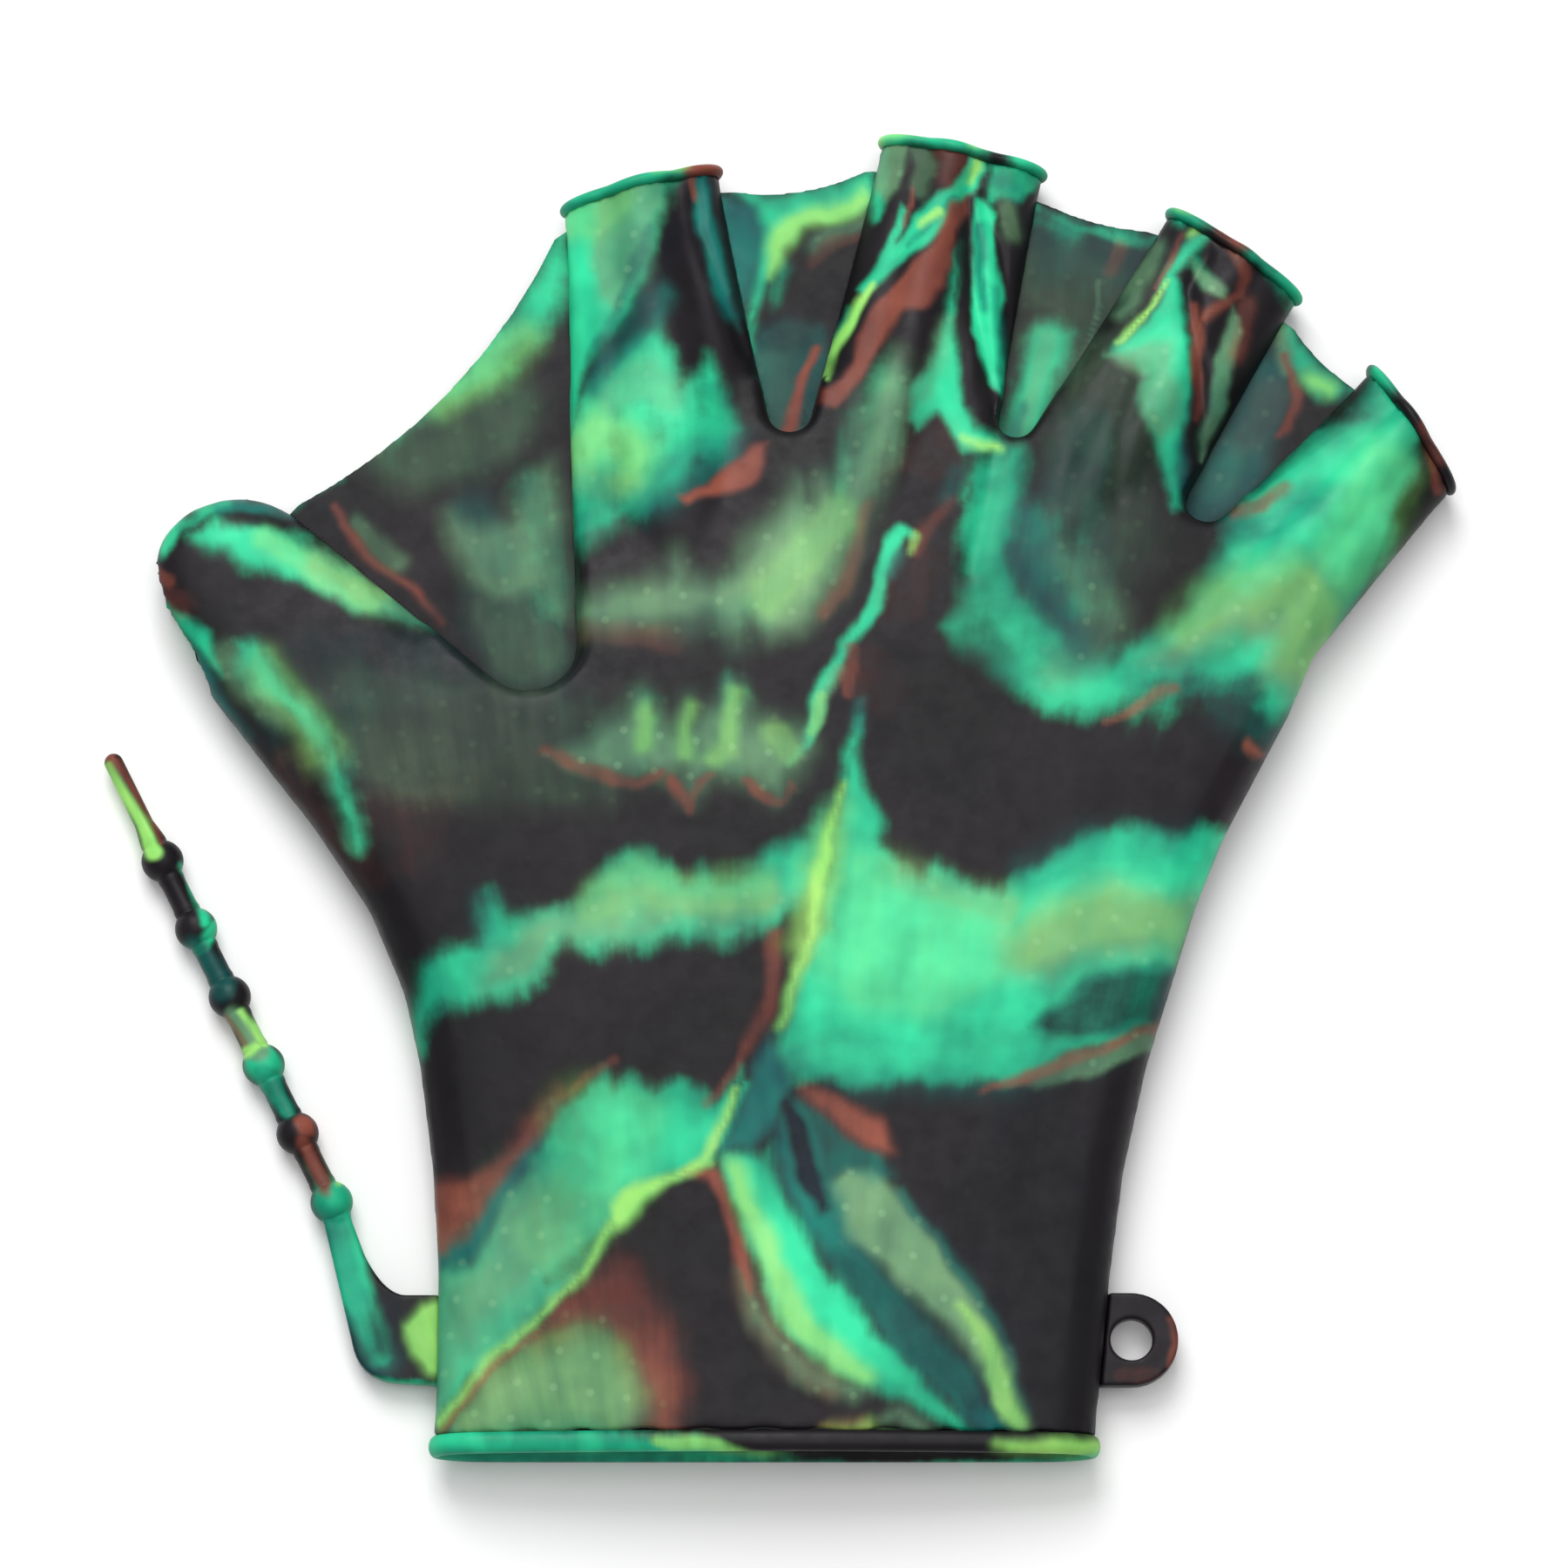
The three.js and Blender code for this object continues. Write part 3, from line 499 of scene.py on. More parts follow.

# %% [markdown]
# ## The marbling, as a painter would lay it down
#
# Six pigments are folded into one charcoal batch before moulding, and the mould's flow drags them into
# bands, wedges and strands. Each is drawn here on a sheet ruled in quarter millimetres, whose x runs to
# the right and whose y runs down, towards the cuff. A row holds the pigment, how soft its edge is, roughly
# how much of what lies under it is covered at most, and its points. Three numbers in a point make a line
# with a half width, two make the corner of a filled patch. Rows of plain charcoal add more charcoal over
# the pigments, and a few of them are painted shade: down the fingers' flanks beside the webs, and on the
# flanks of the thumb and of the cuff. Noise alone would give the right grain but never this glove's own
# figure.

# %% Drawing: the cuff
CUFF = [
    ("emerald", 4, 1, [(318, 1125), (325, 1100), (345, 1095), (358, 1078), (366, 1090), (375, 1080),
        (388, 1090), (402, 1082), (416, 1090), (424, 1102), (432, 1090), (440, 1078), (436, 1100),
        (428, 1124), (420, 1137), (400, 1145), (375, 1160), (360, 1182), (335, 1212), (310, 1238),
        (288, 1257), (268, 1282), (258, 1296), (252, 1296), (252, 1200), (275, 1192), (298, 1165),
        (314, 1140)]),
    ("olive", 14, 0.8, [(300, 1150), (322, 1146), (346, 1160), (338, 1190), (312, 1218), (284, 1250),
        (262, 1285), (254, 1290), (254, 1208), (280, 1186)]),
    ("lime", 14, 0.22, [(346, 1108, 6), (372, 1112, 6), (356, 1146, 8), (330, 1182, 6)]),
    ("teal", 5, 0.95, [(252, 1190), (274, 1176), (296, 1148), (314, 1118), (322, 1120), (316, 1142),
        (296, 1166), (276, 1194), (252, 1206)]),
    ("teal", 8, 0.25, [(336, 1118, 4), (322, 1146, 6), (300, 1180, 5)]),
    ("rust", 5, 0.7, [(252, 1152), (275, 1148), (300, 1132), (312, 1110), (330, 1090), (336, 1093),
        (318, 1120), (300, 1142), (286, 1158), (262, 1188), (252, 1190)]),
    ("rust", 3, 0.55, [(336, 1092, 2), (352, 1082, 2), (366, 1074, 1.5)]),
    ("cover", 4, 0.5, [(322, 1205, 2), (340, 1194, 3), (358, 1184, 3)]),
    ("lime", 3.4, 1, [(362, 1162), (370, 1150), (384, 1144), (400, 1140), (418, 1131), (424, 1136),
        (412, 1142), (396, 1150), (384, 1160), (376, 1172), (368, 1178), (362, 1172)]),
    ("lime", 4, 0.8, [(366, 1172, 4), (354, 1190, 2.6), (336, 1210, 2), (314, 1232, 1.8), (290, 1254, 1.8),
        (272, 1278, 2.2), (260, 1294, 2.6)]),
    ("lime", 3, 0.8, [(416, 1136, 3), (424, 1126, 3), (430, 1110, 2.4), (437, 1092, 2)]),
    ("olive", 9, 0.95, [(264, 1292), (286, 1264), (312, 1244), (340, 1232), (362, 1226), (374, 1246),
        (386, 1270), (390, 1300), (340, 1300), (268, 1304)]),
    ("lime", 9, 0.27, [(284, 1290), (300, 1266), (326, 1248), (352, 1240), (366, 1250), (372, 1272),
        (364, 1288), (320, 1290)]),
    ("rust", 8, 0.8, [(312, 1240), (330, 1222), (346, 1206), (366, 1198), (378, 1196), (390, 1216),
        (400, 1240), (404, 1270), (403, 1302), (384, 1304), (385, 1282), (378, 1256), (364, 1234),
        (344, 1236), (322, 1246)]),
    ("rust", 2.5, 0.75, [(352, 1207, 1.5), (322, 1234, 2.6), (296, 1254, 2.2), (276, 1279, 2.2),
        (262, 1300, 2.2)]),
    ("emerald", 4, 1, [(256, 1302), (284, 1294), (304, 1288), (320, 1284), (346, 1286), (362, 1292),
        (380, 1300), (384, 1312), (256, 1314)]),
    ("teal", 5, 0.4, [(300, 1292, 4), (330, 1290, 4), (356, 1296, 4)]),
    ("emerald", 4, 1, [(430, 1128), (456, 1124), (464, 1142), (472, 1160), (480, 1178), (492, 1190),
        (502, 1206), (514, 1226), (532, 1244), (548, 1256), (562, 1274), (578, 1292), (606, 1304),
        (596, 1308), (560, 1292), (540, 1280), (520, 1272), (500, 1262), (484, 1250), (470, 1236),
        (456, 1212), (446, 1190), (440, 1162), (430, 1146)]),
    ("lime", 5, 0.7, [(438, 1138, 4), (447, 1164, 5), (458, 1194, 6), (475, 1225, 7), (498, 1250, 6),
        (516, 1262, 4)]),
    ("emerald", 8, 0.6, [(470, 1190, 5), (495, 1225, 6), (520, 1248, 5), (550, 1270, 4)]),
    ("teal", 5, 1, [(462, 1094), (478, 1100), (492, 1122), (498, 1152), (508, 1178), (524, 1200),
        (546, 1222), (566, 1244), (586, 1266), (602, 1290), (606, 1302), (584, 1298), (566, 1278),
        (548, 1260), (530, 1242), (510, 1218), (495, 1194), (480, 1176), (468, 1152), (458, 1128)]),
    ("emerald", 4, 0.75, [(556, 1252, 3), (572, 1270, 4), (588, 1286, 4), (600, 1298, 4)]),
    ("olive", 4, 0.95, [(490, 1150), (504, 1138), (520, 1140), (536, 1152), (548, 1166), (562, 1186),
        (576, 1206), (586, 1216), (592, 1236), (606, 1260), (614, 1292), (610, 1302), (598, 1286),
        (588, 1264), (572, 1242), (555, 1224), (530, 1202), (506, 1182), (495, 1170)]),
    ("emerald", 5, 0.5, [(506, 1150, 3), (528, 1166, 3), (552, 1190, 3)]),
    ("teal", 4, 0.75, [(536, 1152, 2.4), (560, 1180, 2.6), (584, 1214, 2.6), (600, 1248, 2.4),
        (612, 1282, 2)]),
    ("lime", 4, 0.65, [(572, 1222, 2), (586, 1242, 4), (599, 1266, 5), (608, 1290, 4)]),
    ("navy", 3, 1, [(468, 1100, 5), (475, 1120, 8), (484, 1144, 8), (491, 1164, 4)]),
    ("navy", 6, 0.55, [(500, 1190, 3), (530, 1222, 5), (556, 1250, 5), (580, 1276, 4)]),
    ("rust", 4, 0.9, [(478, 1091), (504, 1096), (528, 1112), (534, 1130), (522, 1125), (500, 1114),
        (486, 1104)]),
    ("teal", 5, 0.6, [(484, 1106), (500, 1118), (524, 1130), (532, 1142), (518, 1148), (504, 1138),
        (492, 1146)]),
    ("rust", 3, 0.95, [(408, 1140, 2.5), (424, 1144, 5.5), (432, 1158, 4), (436, 1176, 4), (440, 1194, 4.5),
        (447, 1212, 3)]),
    ("olive", 5, 0.85, [(440, 1200), (450, 1214), (466, 1236), (482, 1251), (502, 1264), (520, 1272),
        (508, 1277), (490, 1270), (474, 1265), (460, 1247), (448, 1232), (444, 1216)]),
    ("rust", 6, 0.4, [(444, 1205, 3), (456, 1232, 5), (474, 1254, 5), (496, 1268, 3)]),
    ("rust", 4, 0.65, [(492, 1292), (504, 1287), (514, 1286), (522, 1294), (530, 1302), (504, 1303)]),
    ("lime", 5, 0.5, [(498, 1296, 3), (516, 1294, 4)]),
    ("olive", 5, 0.7, [(528, 1290, 1), (538, 1286, 3), (552, 1300, 4)]),
    # Painted shade: a dark stroke down the cuff's right flank, where it rolls away from the light.
    ("cover", 7, 0.8, [(618, 1150, 8), (630, 1200, 14), (636, 1260, 12)]),
    ("navy", 16, 0.4, [(600, 1110), (628, 1096), (640, 1150), (640, 1240), (622, 1290), (600, 1230),
        (580, 1170)]),
]

# %% Drawing: the band above the cuff
WRIST = [
    ("emerald", 5, 1, [(236, 1050), (246, 1020), (262, 1004), (278, 1000), (290, 970), (300, 985),
        (316, 986), (334, 978), (350, 966), (362, 956), (374, 948), (388, 948), (396, 956), (406, 966),
        (418, 956), (426, 966), (440, 960), (454, 952), (468, 944), (480, 938), (486, 928), (493, 915),
        (499, 912), (494, 945), (490, 966), (480, 973), (468, 986), (455, 996), (440, 1002), (425, 1000),
        (412, 1004), (400, 1000), (390, 1002), (378, 1012), (366, 1003), (352, 1012), (340, 1003),
        (326, 1012), (318, 1026), (300, 1036), (280, 1040), (262, 1046), (252, 1060), (246, 1072),
        (238, 1070)]),
    ("olive", 7, 0.8, [(290, 1006), (318, 990), (345, 976), (362, 966), (380, 962), (396, 972), (420, 974),
        (445, 970), (462, 966), (470, 974), (448, 992), (424, 994), (396, 992), (376, 1002), (350, 1002),
        (330, 1004), (312, 1022), (284, 1030)]),
    ("lime", 8, 0.35, [(352, 978, 5), (380, 966, 6), (412, 975, 5), (450, 970, 5)]),
    ("teal", 7, 0.5, [(286, 982, 4), (286, 1000, 4)]),
    ("emerald", 4, 1, [(460, 1070), (465, 1058), (472, 1036), (480, 1012), (488, 988), (492, 965),
        (494, 945), (500, 912), (503, 880), (512, 874), (516, 905), (526, 925), (528, 945), (540, 958),
        (552, 962), (560, 954), (580, 965), (600, 975), (612, 965), (630, 950), (655, 938), (680, 930),
        (710, 936), (744, 932), (726, 975), (706, 1010), (700, 1022), (690, 1056), (668, 1060), (645, 1070),
        (625, 1080), (600, 1088), (570, 1085), (540, 1090), (500, 1087), (480, 1087), (462, 1088)]),
    ("olive", 9, 0.9, [(596, 1000), (628, 980), (660, 967), (692, 968), (726, 974), (706, 1006),
        (690, 1016), (660, 1012), (630, 1027), (606, 1022)]),
    ("lime", 10, 0.4, [(612, 1004, 6), (640, 990, 9), (674, 984, 9), (700, 990, 6)]),
    ("lime", 14, 0.28, [(500, 962), (530, 965), (565, 982), (600, 990), (596, 1012), (556, 1030),
        (515, 1026), (492, 1000)]),
    ("teal", 9, 0.5, [(620, 962, 5), (650, 948, 7), (690, 944, 7), (728, 950, 7)]),
    ("olive", 7, 0.5, [(540, 962, 4), (560, 968, 5), (600, 985, 5)]),
    ("teal", 12, 0.3, [(560, 1046), (600, 1040), (660, 1036), (690, 1050), (640, 1072), (600, 1086),
        (556, 1080)]),
    ("teal", 9, 0.42, [(466, 1076), (500, 1062), (540, 1068), (580, 1066), (622, 1056), (648, 1056),
        (622, 1080), (600, 1089), (540, 1090), (500, 1086)]),
    ("navy", 5, 0.8, [(622, 1052), (640, 1036), (656, 1024), (676, 1018), (696, 1020), (712, 1024),
        (704, 1048), (692, 1056), (670, 1054), (645, 1060), (630, 1062)]),
    ("teal", 5, 0.7, [(618, 1054), (636, 1036), (656, 1020), (690, 1014), (712, 1018), (704, 1050),
        (660, 1060)]),
    ("olive", 3, 0.7, [(612, 1082), (632, 1076), (650, 1068), (672, 1060), (700, 1056), (690, 1068),
        (668, 1076), (640, 1088), (622, 1092)]),
    ("rust", 3, 0.7, [(586, 1092, 1.5), (606, 1086, 2.6), (630, 1080, 4), (652, 1068, 3.5),
        (676, 1060, 2.5), (700, 1056, 2)]),
    ("lime", 3.8, 1, [(501, 908, 1.6), (498, 925, 3.4), (493, 945, 6), (488, 960, 8), (487, 978, 6),
        (482, 1000, 4), (475, 1025, 2.8), (466, 1052, 1.8)]),
    ("lime", 7, 0.6, [(500, 925, 3), (492, 962, 11), (480, 1004, 5)]),
    ("rust", 4, 0.7, [(464, 996, 3), (462, 1015, 3.5), (460, 1034, 4), (453, 1052, 4), (446, 1064, 3)]),
    ("cover", 3, 0.9, [(470, 985, 3), (466, 1005, 2)]),
    ("teal", 4, 1, [(460, 1056), (466, 1068), (472, 1084), (470, 1102), (456, 1118), (440, 1128),
        (428, 1130), (436, 1108), (446, 1088), (452, 1070)]),
    ("emerald", 3, 0.8, [(444, 1090, 2.4), (436, 1108, 3.4), (430, 1124, 3)]),
    ("rust", 3, 0.5, [(418, 1100, 2), (432, 1084, 2), (444, 1066, 2.4)]),
]

# %% Drawing: the palm
PALM = [
    ("olive", 16, 0.24, [(205, 868, 14), (250, 880, 18), (300, 882, 18), (340, 888, 14)]),
    ("teal", 22, 0.16, [(190, 860, 16), (240, 858, 18), (300, 850, 12)]),
    ("olive", 7, 0.9, [(326, 888), (345, 880), (356, 868), (370, 864), (380, 850), (388, 863), (400, 870),
        (408, 853), (415, 868), (426, 860), (436, 846), (444, 856), (450, 868), (462, 870), (476, 874),
        (482, 884), (476, 896), (462, 914), (450, 903), (436, 900), (422, 904), (412, 915), (405, 900),
        (385, 900), (360, 904), (340, 896)]),
    ("emerald", 5, 0.6, [(384, 858, 2.6), (382, 876, 3), (380, 892, 2)]),
    ("lime", 5, 0.5, [(383, 862, 2), (381, 882, 2.6)]),
    ("lime", 5, 0.55, [(410, 860, 2), (408, 888, 3)]),
    ("lime", 5, 0.5, [(438, 852, 2), (434, 884, 3), (424, 892, 2)]),
    ("emerald", 6, 0.7, [(436, 846, 3), (436, 872, 4), (432, 892, 3)]),
    ("lime", 5, 0.35, [(462, 876, 3), (470, 888, 3)]),
    ("rust", 3, 0.7, [(320, 886, 2), (345, 896, 3), (362, 905, 4), (380, 906, 3), (392, 900, 2)]),
    ("rust", 2.5, 0.75, [(398, 903, 2), (406, 914, 3), (409, 922, 2.4), (416, 908, 2.4), (424, 902, 1.5)]),
    ("rust", 2.5, 0.65, [(444, 903, 2), (454, 913, 3), (464, 916, 2), (472, 906, 2)]),
    ("olive", 8, 0.85, [(326, 804), (345, 792), (360, 786), (380, 784), (396, 776), (400, 766), (406, 782),
        (424, 784), (438, 776), (446, 758), (462, 745), (474, 722), (480, 735), (490, 716), (500, 728),
        (508, 700), (518, 670), (530, 648), (537, 642), (544, 655), (546, 668), (536, 682), (530, 702),
        (524, 722), (520, 738), (510, 756), (500, 776), (490, 796), (476, 812), (458, 816), (446, 806),
        (438, 822), (430, 812), (420, 806), (405, 812), (385, 808), (355, 812), (338, 812)]),
    ("emerald", 9, 0.75, [(440, 800, 5), (462, 785, 8), (480, 765, 10), (496, 745, 8), (508, 718, 7),
        (520, 690, 8), (530, 662, 7)]),
    ("olive", 6, 0.45, [(420, 798, 5), (452, 792, 8), (478, 770, 8), (496, 742, 5)]),
    ("lime", 9, 0.35, [(456, 790, 4), (478, 772, 5), (500, 740, 4)]),
    ("rust", 4, 0.5, [(520, 735, 2), (512, 758, 2.4), (503, 780, 2.4), (492, 802, 2)]),
    ("rust", 5, 0.35, [(340, 812, 3), (372, 815, 4), (400, 818, 3)]),
    ("emerald", 2.4, 1, [(546, 756, 2), (538, 752, 4), (532, 760, 5), (528, 775, 4), (524, 790, 5),
        (518, 805, 5), (510, 818, 4), (500, 830, 3.4), (492, 845, 4), (486, 862, 5), (480, 878, 4),
        (470, 894, 2.4)]),
    ("lime", 3, 0.5, [(548, 756, 2), (544, 764, 2)]),
    ("teal", 4, 0.7, [(536, 764, 3), (532, 776, 3)]),
    ("olive", 3, 0.5, [(500, 836, 3), (492, 852, 3), (486, 868, 3)]),
    ("lime", 3, 0.5, [(490, 855, 2), (482, 874, 2.4)]),
    ("emerald", 3, 1, [(512, 868, 3), (506, 884, 5), (502, 905, 4)]),
    ("teal", 4, 0.8, [(514, 858, 2), (511, 870, 3.4)]),
    ("rust", 4, 0.5, [(568, 734, 2), (560, 745, 3), (553, 755, 3), (548, 766, 2)]),
    ("rust", 3, 0.6, [(509, 826, 3.4), (505, 840, 4), (506, 852, 3)]),
    ("rust", 7, 0.15, [(520, 838, 4), (526, 852, 4)]),
    ("rust", 8, 0.15, [(548, 770, 4), (538, 792, 5)]),
    ("emerald", 3, 1, [(576, 566), (572, 600), (572, 630), (573, 652), (576, 672), (586, 688), (600, 696),
        (592, 703), (578, 700), (568, 688), (560, 678), (550, 690), (544, 682), (548, 664), (556, 650),
        (562, 625), (566, 600), (570, 575)]),
    ("olive", 5, 0.5, [(552, 668, 3), (560, 650, 3), (566, 620, 3)]),
    ("lime", 2.6, 0.85, [(578, 693, 1.6), (588, 698, 2.2), (598, 700, 2)]),
    ("emerald", 5, 0.85, [(598, 702, 4), (586, 716, 5), (577, 732, 3)]),
    ("teal", 5, 0.5, [(574, 712, 2), (566, 730, 2)]),
    ("rust", 10, 0.15, [(524, 700, 4), (540, 690, 5), (560, 700, 5)]),
    ("rust", 14, 0.1, [(300, 870, 6), (240, 890, 8), (230, 930, 8)]),
]

# %% Drawing: the little finger's side of the palm
SIDE = [
    ("emerald", 5, 1, [(752, 728), (768, 712), (782, 700), (795, 688), (810, 682), (826, 671), (834, 652),
        (846, 650), (856, 672), (862, 690), (858, 716), (850, 738), (840, 768), (828, 790), (808, 826),
        (790, 856), (768, 866), (756, 858), (760, 842), (742, 844), (716, 842), (690, 850), (665, 862),
        (650, 866), (630, 862), (612, 852), (600, 842), (590, 828), (570, 820), (562, 810), (575, 795),
        (575, 760), (580, 730), (584, 706), (597, 697), (611, 702), (610, 730), (606, 758), (608, 775),
        (612, 788), (622, 800), (642, 815), (665, 828), (690, 814), (710, 800), (725, 785), (730, 770),
        (734, 755), (744, 740)]),
    ("olive", 10, 0.6, [(630, 762, 4), (652, 778, 9), (662, 806, 10), (640, 835, 10)]),
    ("teal", 8, 0.65, [(606, 730), (622, 740), (634, 762), (640, 785), (655, 815), (655, 835), (636, 822),
        (618, 796), (606, 775)]),
    ("emerald", 10, 0.55, [(625, 756, 4), (640, 770, 6), (650, 800, 5)]),
    ("cover", 16, 0.5, [(575, 800, 6), (590, 822, 8)]),
    ("olive", 7, 0.95, [(686, 832), (706, 815), (722, 804), (740, 788), (764, 778), (790, 770), (806, 786),
        (812, 812), (800, 836), (788, 852), (775, 856), (760, 842), (764, 822), (745, 820), (725, 826),
        (702, 838)]),
    ("lime", 11, 0.45, [(714, 812, 3), (734, 798, 6), (756, 786, 7), (776, 784, 8), (790, 800, 10),
        (784, 828, 7)]),
    ("lime", 14, 0.3, [(812, 770, 6), (828, 745, 8), (838, 715, 6)]),
    ("emerald", 12, 0.55, [(690, 848, 5), (720, 838, 6), (752, 838, 5)]),
    ("teal", 9, 0.45, [(686, 842, 4), (716, 836, 6), (744, 842, 8), (768, 856, 6)]),
    ("cover", 3, 0.95, [(858, 686), (870, 700), (888, 716), (876, 732), (860, 745), (848, 756), (846, 742),
        (850, 730), (858, 712)]),
    ("rust", 2.6, 0.8, [(862, 694, 2.4), (868, 710, 2.8), (872, 724, 2.8)]),
    ("rust", 3, 0.7, [(746, 742, 3.4), (762, 736, 4), (778, 724, 3)]),
    ("teal", 7, 0.7, [(742, 750), (758, 742), (785, 728), (804, 728), (798, 745), (780, 752), (762, 758),
        (746, 752)]),
    # Painted shade down the little finger's flank, beside the web.
    ("cover", 3, 0.35, [(750, 732, 2), (775, 712, 2.4), (800, 694, 2.4), (824, 680, 2)]),
    ("rust", 3, 0.6, [(664, 868, 1.5), (690, 856, 2), (706, 848, 1.8)]),
    ("cover", 18, 0.35, [(720, 770, 5), (700, 790, 5)]),
    ("teal", 12, 0.4, [(745, 862, 4), (768, 872, 4)]),
    ("rust", 3, 0.7, [(752, 882, 2.4), (760, 890, 2)]),
]

